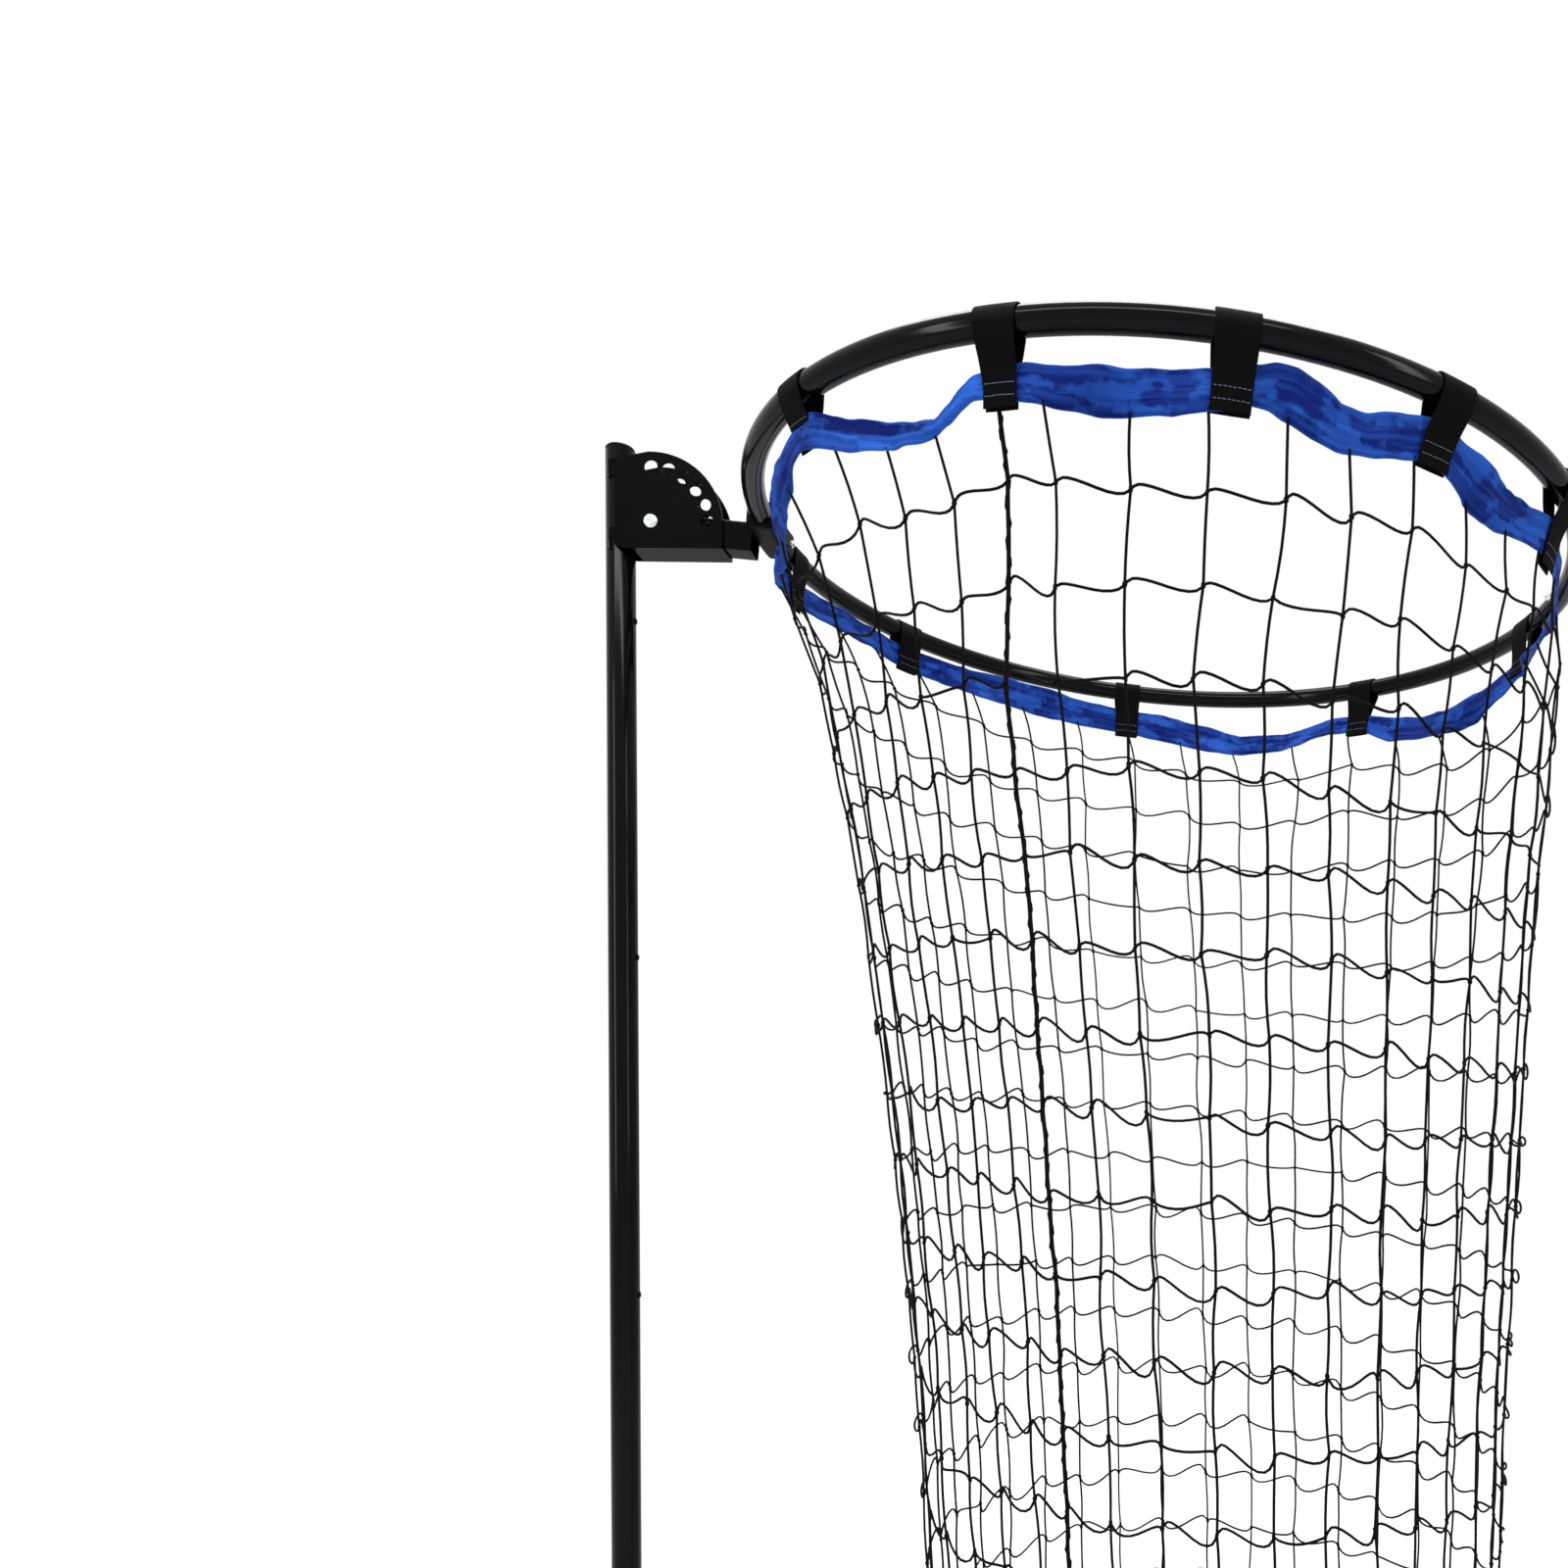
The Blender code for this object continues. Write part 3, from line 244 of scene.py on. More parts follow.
# Strings of the netting: the angle at which each leaves the hem, and its angle lower down
STRINGS = (
    (-133.3, -139.1),
    (-124.8, -131.3),
    (-117.4, -123.6),
    (-109.6, -117.2),
    (-104.7, -109.8),
    (-95.5, -101.8),
    (-87.4, -92.9),
    (-78.9, -84.3),
    (-71.5, -75.5),
    (-63.7, -66.5),
    (-54.3, -58.7),
    (-46.0, -50.4),
    (-38.5, -41.0),
    (-30.0, -32.0),
    (-21.5, -23.0),
    (-13.0, -13.9),
    (-4.0, -4.3),
    (6.0, 6.3),
    (16.4, 17.4),
    (27.8, 29.4),
    (39.5, 41.3),
    (50.6, 52.4),
    (61.4, 64.5),
    (73.6, 75.8),
    (84.3, 86.9),
    (95.0, 98.3),
    (105.0, 109.1),
    (116.5, 119.5),
    (126.8, 129.9),
    (138.0, 141.2),
    (148.5, 151.4),
    (158.9, 161.5),
    (169.6, 171.3),
    (180.2, 180.9),
    (191.0, 190.5),
    (202.5, 200.5),
    (214.5, 210.6),
)
# Which string is the laced seam, its twine's radii, and its lacing's steps a mesh and a turn
SEAM = 3
SEAM_RADIUS = 0.0024
LACE_RADIUS = 0.0014
LACE_STEPS = 12
LACE_STEPS_A_TURN = 4.6
# By this depth a string has turned to its lower angle
TURNS_BY_DEPTH = 0.30
# Radii of the twine, the border cord and the knots
TWINE_RADIUS = 0.0016
BORDER_RADIUS = 0.0035
KNOT_RADIUS = 0.0028
# How far a knot strays round the hoop, in degrees, and up or down
KNOT_TURN_STRAY = 0.4
KNOT_RISE_STRAY = 0.0045
# The most that a string bows between two knots
STRING_BOW = 0.0022
# The netting's top and first row under the hoop's middle, its depth, and the step between its rows
NET_TOP = 0.090
NET_DEPTH = HOOP_HEIGHT - NET_TOP - NET_BOTTOM_HEIGHT
NET_FIRST_ROW = 0.140
NET_PITCH = 0.0885
NET_ROWS = 18
# Rows slope with the hoop down to this depth, then level out
NET_LEVELS_FROM = 1.15
# How much of the hem's shape each of the first rows keeps, against the hem's usual drop
HEM_SHAPE_BY_ROW = (1.0, 0.8, 0.4, 0.25, 0.12)
HEM_USUAL_DROP = 0.080

# The picture's side, its focal length and the place that its lens faces, in the photograph's pixels,
# and the camera's place and turns
PICTURE = 1600.0
FOCAL = 1238.7758
CENTRE_X = 1200.0
CENTRE_Y = 1100.0
CAMERA_PLACE = (0.6768, -1.6960, HOOP_HEIGHT - 0.7242)
CAMERA_YAW = math.radians(2.70)
CAMERA_PITCH = math.radians(0.39)
CAMERA_ROLL = math.radians(-0.50)
# What the floor adds to its own colour for the camera: under the object, and far off
NEAR_LIFT = 0.34
FAR_LIFT = 0.68
# The place that "far off" is measured from, half the floor's side, and the room's light
FLOOR_MIDDLE = (0.55, 0.0, 0.0)
FLOOR_HALF = 60.0
ROOM_LEVEL = 0.40
WHITE = (1.0, 1.0, 1.0, 1.0)


# Finishes


class Value:
    """A value that varies over a surface. Sums on it add the Math nodes that work it out."""

    def __init__(self, tree, socket):
        self.tree = tree
        self.socket = socket

    def worked(self, operation, first, second):
        node = self.tree.nodes.new("ShaderNodeMath")
        node.operation = operation
        for socket, value in zip(node.inputs, (first, second)):
            if isinstance(value, Value):
                self.tree.links.new(value.socket, socket)
            else:
                socket.default_value = value
        return Value(self.tree, node.outputs[0])

    def __add__(self, other):
        return self.worked("ADD", self, other)

    def __radd__(self, other):
        return self.worked("ADD", other, self)

    def __sub__(self, other):
        return self.worked("SUBTRACT", self, other)

    def __rsub__(self, other):
        return self.worked("SUBTRACT", other, self)

    def __mul__(self, other):
        return self.worked("MULTIPLY", self, other)

    def __rmul__(self, other):
        return self.worked("MULTIPLY", other, self)

    def wave(self):
        return self.worked("SINE", self, 0.0)

    def size(self):
        return self.worked("ABSOLUTE", self, 0.0)


class Nodes:
    """A material's or the world's nodes."""

    def __init__(self, tree):
        self.tree = tree

    def node(self, kind, settings, sockets, output=0):
        """Adds a node. Its settings are put first, then each socket's value or link."""
        node = self.tree.nodes.new(kind)
        for name, value in settings.items():
            if name == "stops":
                self.set_stops(node.color_ramp, value)
            else:
                setattr(node, name, value)
        for name, value in sockets.items():
            if isinstance(value, Value):
                self.tree.links.new(value.socket, node.inputs[name])
            else:
                node.inputs[name].default_value = value
        return Value(self.tree, node.outputs[output])

    def set_stops(self, ramp, stops):
        while len(ramp.elements) < len(stops):
            ramp.elements.new(0.5)
        for element, (place, level) in zip(ramp.elements, stops):
            element.position = place
            element.color = (level, level, level, 1.0)

    def seen(self):
        """1 for rays from the camera, off a mirror or through glass."""
        seen = self.node("ShaderNodeLightPath", {}, {}, "Is Camera Ray")
        for kind in ("Is Glossy Ray", "Is Transmission Ray"):
            seen = seen.worked("MAXIMUM", seen, self.node("ShaderNodeLightPath", {}, {}, kind))
        return seen

    def show(self, output, shader):
        self.tree.links.new(shader.socket, self.tree.nodes[output].inputs["Surface"])


class Finish(Nodes):
    """A surface finish being put together from nodes."""

    def __init__(self, name, roughness, **constants):
        self.material = bpy.data.materials.new(name)
        self.material.use_nodes = True
        super().__init__(self.material.node_tree)
        self.shader = self.tree.nodes["Principled BSDF"]
        self.shader.inputs["Roughness"].default_value = roughness
        for socket, value in constants.items():
            self.shader.inputs[socket.replace("_", " ")].default_value = value

    def surface(self):
        """Object coordinates, in metres."""
        return self.node("ShaderNodeTexCoord", {}, {}, "Object")

    def along(self):
        """The piece's own map, in metres."""
        return self.node("ShaderNodeUVMap", {"uv_map": "UVMap"}, {})

    def grain(self, scale, detail=2.0, where=None):
        """Noise, this many times a metre."""
        sockets = {"Vector": where or self.surface(), "Scale": scale, "Detail": detail}
        return self.node("ShaderNodeTexNoise", {}, sockets)

    def level(self, value, stops):
        """A value sent through stops of (place, level)."""
        return self.node("ShaderNodeValToRGB", {"stops": stops}, {"Fac": value})

    def blend(self, share, first, second):
        """A share of the way from the first colour to the second."""
        sockets = {0: share, 6: (*first, 1.0), 7: (*second, 1.0)}
        return self.node("ShaderNodeMix", {"data_type": "RGBA"}, sockets, 2)

    def feed(self, name, value):
        self.tree.links.new(value.socket, self.shader.inputs[name])

    def bump(self, height, strength, distance):
        sockets = {"Height": height, "Strength": strength, "Distance": distance}
        self.feed("Normal", self.node("ShaderNodeBump", {}, sockets))


def black_coat(name, roughness, orange_peel, shine):
    """Gloss black coating with an orange peel and faint handling marks."""
    made = Finish(name, roughness, Specular_IOR_Level=shine)
    patches = made.grain(7.0, 3.0)
    fine = made.grain(1100.0, 1.0)
    made.feed("Base Color", made.blend(patches, (0.0009, 0.0010, 0.0013), (0.0026, 0.0027, 0.0031)))
    made.feed("Roughness", (roughness - 0.04) + patches * 0.09 + fine * 0.04)
    made.bump(fine, orange_peel, 0.0004)
    return made.material


def moulded_black():
    """Moulded black plastic with a fine spark texture."""
    made = Finish("moulded_black", 0.38, Specular_IOR_Level=0.04)
    fine = made.grain(1800.0, 2.0)
    patches = made.grain(12.0, 2.0)
    made.feed("Base Color", made.blend(patches, (0.0008, 0.0008, 0.0010), (0.0024, 0.0024, 0.0026)))
    made.feed("Roughness", 0.34 + patches * 0.12 + fine * 0.08)
    made.bump(fine, 0.22, 0.0003)
    return made.material


def zinc_plate():
    """Bright zinc with soft clouding and drawn marks."""
    made = Finish("bright_zinc", 0.3, Metallic=1.0)
    clouds = made.grain(240.0, 3.0)
    fine = made.grain(2600.0, 2.0)
    made.feed("Base Color", made.blend(clouds, (0.52, 0.53, 0.55), (0.86, 0.87, 0.88)))
    made.feed("Roughness", 0.17 + clouds * 0.18 + fine * 0.08)
    made.bump(fine, 0.12, 0.0003)
    return made.material


def leaf_steel():
    """Spring steel, greyer than the zinc."""
    made = Finish("leaf_spring_steel", 0.34, Metallic=1.0)
    clouds = made.grain(300.0, 3.0)
    made.feed("Base Color", made.blend(clouds, (0.26, 0.26, 0.27), (0.46, 0.46, 0.47)))
    made.feed("Roughness", 0.26 + clouds * 0.16)
    return made.material


def foot_rubber():
    """Matt black rubber with a little dust."""
    made = Finish("foot_rubber", 0.8, Specular_IOR_Level=0.2)
    fine = made.grain(900.0, 3.0)
    dust = made.grain(22.0, 4.0)
    made.feed("Base Color", made.blend(dust, (0.012, 0.012, 0.012), (0.030, 0.029, 0.027)))
    made.feed("Roughness", 0.70 + fine * 0.2)
    made.bump(fine, 0.3, 0.0005)
    return made.material


def weave_of(made, rib, cord):
    """The places along and across the piece's map, and its weave, 0 to 1: ribs across, cords along."""
    place = made.node("ShaderNodeSeparateXYZ", {}, {"Vector": made.along()}, "X")
    across = made.node("ShaderNodeSeparateXYZ", {}, {"Vector": made.along()}, "Y")
    ribs = (place * (TAU / rib)).wave().size()
    cords = (across * (TAU / cord)).wave().size()
    return place, across, ribs * 0.6 + cords * 0.4


def webbing():
    """Black polypropylene webbing: ribs across, cords along, with painted light making it grey over the top
    of the tube and painted shade darkening the legs.
    """
    made = Finish("black_webbing", 0.75, Specular_IOR_Level=0.03)
    place, _, weave = weave_of(made, 0.0016, 0.0022)
    cloth = made.grain(60.0, 3.0)
    # Painted light: 1 over the top of the tube, where light falls from above, fading to 0 down the legs,
    # which get painted shade (colour cut to about a sixth)
    bend = made.level((place - STRAP_MIDDLE).size() * 20.0, ((0.30, 1.0), (0.62, 0.0)))
    tone = (weave * 0.55 + cloth * 0.45) * (0.16 + bend * 0.84)
    made.feed("Base Color", made.blend(tone, (0.0006, 0.0006, 0.0008), (0.0250, 0.0255, 0.0265)))
    made.feed("Roughness", 0.66 + cloth * 0.2)
    made.bump(weave, 0.6, 0.0005)
    return made.material


def hem_tape():
    """Royal blue tape with painted shading: sharp-edged light and dark patches for creases, lighter
    lengthwise streaks for folds, a lit twisted stretch and, in the first gap, a lit lower half under a shaded
    upper half; sewing and pale cut edges.
    """
    made = Finish("royal_blue_tape", 0.55, Specular_IOR_Level=0.06)
    place, across, weave = weave_of(made, 0.0010, 0.0012)
    cloth = made.grain(90.0, 4.0)
    stretched = {"Vector": made.along(), "Scale": (1.0, 3.0, 1.0)}
    broad = made.grain(13.0, 2.0, made.node("ShaderNodeMapping", {}, stretched))
    drawn = {"Vector": made.along(), "Scale": (7.0, 150.0, 1.0)}
    streaks = made.grain(1.0, 3.0, made.node("ShaderNodeMapping", {}, drawn))
    # Painted shading: sharp-edged light and dark patches standing in for creases, and lighter lengthwise
    # streaks standing in for folds
    patches = made.level(broad * 0.80 + cloth * 0.20, ((0.49, 0.0), (0.55, 1.0)))
    lines = made.level(streaks, ((0.44, 0.0), (0.60, 1.0)))
    sewing = made.level((across - 0.0125).size() * 200.0, ((0.10, 0.0), (0.24, 1.0)))
    frayed = made.level((across - 0.019).size() * 50.0, ((0.86, 0.0), (0.94, 1.0)))
    # Painted light: a lighter stretch where the tape twists to face the light
    painted_twist_light = made.level(place * HEM_TURN_A_METRE, ((0.056, 0.0), (0.060, 1.0), (0.076, 1.0), (0.080, 0.0)))
    first_gap = made.level(place * HEM_TURN_A_METRE, ((0.006, 0.0), (0.009, 1.0), (0.055, 1.0), (0.058, 0.0)))
    painted_light_lower_half = made.level(across * 20.0, ((0.36, 1.0), (0.42, 0.0)))
    shade = patches * 0.34 + lines * 0.20 + cloth * 0.16 + weave * 0.08 + frayed * 0.35 + painted_twist_light * 0.42
    # Painted light and shade in the first gap between straps: the lower half lit and the upper half shaded,
    # as where the tape folds
    shade = shade + first_gap * (painted_light_lower_half * 0.62 - 0.20) + sewing * 0.06 - 0.17
    tone = made.level(shade, ((0.0, 0.0), (1.0, 1.0)))
    made.feed("Base Color", made.blend(tone, (0.0010, 0.0085, 0.122), (0.0300, 0.1450, 0.680)))
    made.feed("Roughness", 0.45 + cloth * 0.25)
    made.bump(weave * 0.25 + cloth * 0.50 + sewing * 0.25, 0.45, 0.0014)
    return made.material


def thread(name, dark, pale):
    """Sewing thread."""
    made = Finish(name, 0.6)
    fine = made.grain(1800.0, 2.0)
    made.feed("Base Color", made.blend(fine, dark, pale))
    made.bump(fine, 0.3, 0.0003)
    return made.material


def twine():
    """Black braided twine, a little greyer where it is rubbed."""
    made = Finish("black_twine", 0.7, Specular_IOR_Level=0.04)
    braid = made.grain(900.0, 2.0)
    rubbed = made.grain(18.0, 3.0)
    made.feed("Base Color", made.blend(rubbed, (0.0010, 0.0010, 0.0010), (0.0060, 0.0058, 0.0052)))
    made.feed("Roughness", 0.58 + braid * 0.25)
    made.bump(braid, 0.5, 0.0006)
    return made.material


POWDER = black_coat("powder_coat", 0.20, 0.10, 0.040)
GLOSS = black_coat("tube_gloss_black", 0.10, 0.04, 0.080)
WELD = black_coat("weld_bead_black", 0.14, 0.30, 0.35)
PLASTIC = moulded_black()
ZINC = zinc_plate()
LEAF = leaf_steel()
RUBBER = foot_rubber()
WEBBING = webbing()
TAPE = hem_tape()
GREY_THREAD = thread("grey_thread", (0.035, 0.042, 0.065), (0.150, 0.170, 0.230))
TWINE = twine()


def repaint_cad_pieces():
    """Each CAD piece gets the finish of its slot."""
    finishes = {
        "black_steel": POWDER,
        "black_plastic": PLASTIC,
        "zinc": ZINC,
        "spring_steel": LEAF,
        "webbing": WEBBING,
        "blue_tape": TAPE,
        "twine": TWINE,
        "rubber": RUBBER,
    }
    for part in frame["record"]["subparts"]:
        thing = frame["nodes"][part["node"]]
        for slot in thing.material_slots:
            slot.material = finishes[part["material_slot"]]


# Making pieces


def piece(name, shape, finish, body, replaces=(), sharp=None):
    """Turns a bmesh into a named piece on a body."""
    mesh = bpy.data.meshes.new(name)
    shape.to_mesh(mesh)
    shape.free()
    mesh.materials.append(finish)
    return settle(bpy.data.objects.new(name, mesh), body, replaces, sharp)


def settle(thing, body, replaces=(), sharp=None):
    """Puts a finished object in the scene and on its body, smooth up to a sharp angle."""
    bpy.context.scene.collection.objects.link(thing)
    thing.data.shade_smooth()
    if sharp is not None:
        thing.data.set_sharp_from_angle(angle=math.radians(sharp))
    if body is not None:
        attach(thing, body)
    if replaces:
        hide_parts(*replaces)
    return thing


def eased(table, at):
    """The value of a table of (place, value) at a place, along straight lines."""
    if at <= table[0][0]:
        return table[0][1]
    for (p0, v0), (p1, v1) in zip(table, table[1:]):
        if at <= p1:
            return v0 + (v1 - v0) * (at - p0) / (p1 - p0)
    return table[-1][1]


def softened(node, width, finish, body):
    """A copy of a CAD piece whose sharp edges are rounded over, in place of the piece."""
    shape = bmesh.new()
    shape.from_mesh(frame["nodes"][node].data)
    bmesh.ops.remove_doubles(shape, verts=shape.verts, dist=2e-6)
    bmesh.ops.dissolve_limit(shape, angle_limit=math.radians(1.0), verts=shape.verts, edges=shape.edges)
    edges = [e for e in shape.edges if len(e.link_faces) == 2 and e.calc_face_angle() > math.radians(30)]
    bmesh.ops.bevel(
        shape, geom=edges, offset=width, offset_type="OFFSET", segments=2, profile=0.5,
        affect="EDGES", clamp_overlap=True, material=-1,
    )
    thing = piece(f"{node}_softened", shape, finish, body, (node,))
    shading = thing.modifiers.new("flat faces stay flat", "WEIGHTED_NORMAL")
    shading.keep_sharp = True
    return thing


# Hoop

HOOP = (
    Matrix.Translation((PIVOT_X, 0.0, PIVOT_Z))
    @ Matrix.Rotation(HOOP_DROOP, 4, "Y")
    @ Matrix.Translation((HOOP_REACH, 0.0, ARM_RISE_TO_HOOP))
)


def on_hoop(angle, out, up):
    """A point near the hoop: angle round it in degrees, distance outside and above its tube's middle."""
    a = math.radians(angle)
    return HOOP @ Vector(((HOOP_RADIUS + out) * math.cos(a), (HOOP_RADIUS + out) * math.sin(a), up))


def hoop_half(name, start, end, replaced):
    """Half the hoop: a ring of tube spun round the hoop's middle, its ends closed."""
    shape = bmesh.new()
    ring = bmesh.ops.create_circle(shape, segments=TUBE_SIDES, radius=HOOP_TUBE_RADIUS)
    bmesh.ops.rotate(shape, verts=ring["verts"], matrix=Matrix.Rotation(math.pi / 2, 3, "X"))
    bmesh.ops.translate(shape, verts=ring["verts"], vec=(HOOP_RADIUS, 0.0, 0.0))
    turn = Matrix.Rotation(math.radians(start), 3, "Z")
    bmesh.ops.rotate(shape, verts=ring["verts"], matrix=turn)
    steps = round((end - start) / HOOP_STEP)
    bmesh.ops.spin(
        shape, geom=shape.edges[:], cent=(0, 0, 0), axis=(0, 0, 1), angle=math.radians(end - start),
        steps=steps, use_merge=False,
    )
    open_edges = [e for e in shape.edges if e.is_boundary]
    bmesh.ops.holes_fill(shape, edges=open_edges, sides=0)
    bmesh.ops.transform(shape, matrix=HOOP, verts=shape.verts)
    bmesh.ops.recalc_face_normals(shape, faces=shape.faces)
    return piece(name, shape, GLOSS, "hoop", (replaced,), 40)


def build_hoop():
    slit = HOOP_JOINT_SLIT
    hoop_half("hoop_near_half", -180.0 + slit, HOOP_JOINT_ANGLE - slit, "hoop_tube_near")
    hoop_half("hoop_far_half", HOOP_JOINT_ANGLE + slit, 180.0 - slit, "hoop_tube_far")


# Straps


def strap_path(length, tuck):
    """Out and up of the strap's middle line: up the outer leg, over the tube and down the inner leg."""
    over = HOOP_TUBE_RADIUS + STRAP_OFF_TUBE + STRAP_THICK / 2
    shut = HEM_THICK / 2 + STRAP_THICK / 2 + STRAP_OFF_HEM
    outer = [(shut, -length), (shut, -length + 0.012), (shut, -0.060), (shut + 0.0008, -0.050)]
    outer += [(shut + 0.0040, -0.036), (over - 0.0038, -0.022), (over - 0.0008, -0.009)]
    bend = [(over * math.cos(TAU * k / 32), over * math.sin(TAU * k / 32)) for k in range(17)]
    inner = [(-out, up) for out, up in reversed(outer)]
    path = []
    for out, up in outer + bend + inner:
        leaning = up * LEG_LEAN * min(1.0, max(0.0, -up / 0.03))
        path.append((out + leaning - tuck * min(1.0, max(0.0, -up / 0.035)), up))
    return path


def smooth_path(points, times=2):
    """The same path with its corners rounded off, ends kept."""
    for _ in range(times):
        cut = [points[0]]
        for a, b in zip(points, points[1:]):
            cut.append(tuple(0.75 * p + 0.25 * q for p, q in zip(a, b)))
            cut.append(tuple(0.25 * p + 0.75 * q for p, q in zip(a, b)))
        cut.append(points[-1])
        points = cut
    return points


def build_strap(number, angle, length, lean, end_width, tuck):
    """Gives the strap its thickness, its map in metres and its place on the hoop."""
    path = smooth_path(strap_path(length, tuck), 1)
    steps = len(path) - 1
    run = [0.0]
    for a, b in zip(path, path[1:]):
        run.append(run[-1] + math.dist(a, b))
    shape = bmesh.new()
    layer = shape.loops.layers.uv.new("UVMap")
    bmesh.ops.create_grid(shape, x_segments=steps, y_segments=8, size=0.5)
    flat = {}
    wander = random.Random(number)
    sway = wander.uniform(-STRAP_SWAY, STRAP_SWAY)
    for vert in shape.verts:
        k = round((vert.co.x + 0.5) * steps)
        share = vert.co.y
        flat[vert] = (run[k], share * STRAP_WIDTH)
        out, up = path[k]
        low = min(1.0, max(0.0, -up / STRAP_TAPER))
        width = STRAP_WIDTH + (end_width - STRAP_WIDTH) * low
        side = share * width + (lean * STRAP_LEAN + sway) * low
        crown = STRAP_CROWN * math.cos(share * math.pi) * (1.0 if k < steps / 2 else -1.0)
        turn = math.degrees(side / (HOOP_RADIUS + out))
        vert.co = on_hoop(angle + turn, out + crown * low, up)
    for face in shape.faces:
        for loop in face.loops:
            loop[layer].uv = flat[loop.vert]
    thing = piece(f"webbing_strap_{number:02d}", shape, WEBBING, "hoop", (f"strap_{number:02d}",))
    wall = thing.modifiers.new("thickness", "SOLIDIFY")
    wall.thickness = STRAP_THICK
    wall.offset = 0.0
    edge = thing.modifiers.new("rounded selvedge", "BEVEL")
    edge.width = 0.0005
    edge.segments = 2
    edge.limit_method = "ANGLE"
    edge.angle_limit = math.radians(50)


def leg_out(path, up, face):
    """How far out the strap's middle line lies at this height, on its outer (1) or inner (-1) leg."""
    leg = path if face > 0 else path[::-1]
    for (out_low, low), (out_high, high) in zip(leg, leg[1:]):
        if low <= up <= high:
            return out_low + (out_high - out_low) * (up - low) / (high - low)
    return leg[0][0]


def stitch(shape, middle, along, proud, across):
    """One sewn stitch: a short rounded bar of thread."""
    made = bmesh.ops.create_uvsphere(shape, u_segments=6, v_segments=5, radius=1.0)
    half_sizes = (along * STITCH_HALF_LONG, across * STITCH_HALF_WIDE, proud * STITCH_HALF_HIGH)
    grip = Matrix(half_sizes).transposed().to_4x4()
    grip.translation = middle
    bmesh.ops.transform(shape, matrix=grip, verts=made["verts"])


def build_stitching():
    """Two rows of grey stitches across each strap's lower end, on both faces."""
    shape = bmesh.new()
    for number, (angle, length, lean, end_width, tuck) in enumerate(STRAPS, 1):
        wander = random.Random(number)
        sway = wander.uniform(-STRAP_SWAY, STRAP_SWAY)
        path = smooth_path(strap_path(length, tuck), 1)
        for row in STITCH_ROWS:
            up = row - length
            low = min(1.0, -up / STRAP_TAPER)
            width = STRAP_WIDTH + (end_width - STRAP_WIDTH) * low
            for face in (1.0, -1.0):
                flat_out = leg_out(path, up, face) + face * (STRAP_THICK / 2 + STITCH_PROUD)
                for k in range(STITCHES):
                    share = (k + 0.5) / STITCHES - 0.5
                    side = share * width * STITCH_ROW_SHARE + (lean * STRAP_LEAN + sway) * low
                    turn = math.degrees(side / HOOP_RADIUS)
                    crown = STRAP_CROWN * math.cos(share * math.pi) * face * low
                    rise = wander.uniform(-STITCH_STRAY, STITCH_STRAY)
                    at = on_hoop(angle + turn, flat_out + crown, up + rise)
                    a = math.radians(angle + turn)
                    along = HOOP.to_3x3() @ Vector((-math.sin(a), math.cos(a), 0.0))
                    proud = HOOP.to_3x3() @ Vector((math.cos(a), math.sin(a), 0.0))
                    stitch(shape, at, along, proud, along.cross(proud))
    bmesh.ops.recalc_face_normals(shape, faces=shape.faces)
    piece("strap_stitching", shape, GREY_THREAD, "hoop")


def build_straps():
    for number, sizes in enumerate(STRAPS, 1):
        build_strap(number, *sizes)
    build_stitching()


# Hem tape


def wrapped(table):
    """A table by angle, repeated past both ends of the turn."""
    first = [(row[0] - 360.0, *row[1:]) for row in table[-4:]]
    last = [(row[0] + 360.0, *row[1:]) for row in table[:4]]
    return [*first, *table, *last]


HEM_ALL_ROUND = wrapped(HEM)


def hem_edge(angle, column):
    """The drop of the hem's upper (1) or lower (2) edge at an angle, through the table's points."""
    angle = (angle - HEM_START) % 360.0 + HEM_START
    rows = HEM_ALL_ROUND
    for i in range(1, len(rows) - 2):
        if rows[i][0] <= angle <= rows[i + 1][0]:
            break
    t = (angle - rows[i][0]) / (rows[i + 1][0] - rows[i][0])
    t = t * t * (3.0 - 2.0 * t) * 0.5 + t * 0.5
    return rows[i][column] + (rows[i + 1][column] - rows[i][column]) * t


def from_strap(angle):
    """How far round the nearest strap is, in degrees."""
    return min(abs((angle - strap[0] + 180.0) % 360.0 - 180.0) for strap in STRAPS)


def near_to(angle, middle, flat, fade):
    """1 within flat degrees of an angle, falling to 0 over the next fade degrees."""
    off = abs((angle - middle + 180.0) % 360.0 - 180.0)
    return max(0.0, 1.0 - max(0.0, off - flat) / fade)


def strap_hold(angle):
    """1 where a strap holds the hem flat, falling to 0 away from it."""
    return max(0.0, 1.0 - max(0.0, from_strap(angle) - 2.4) / 3.5)


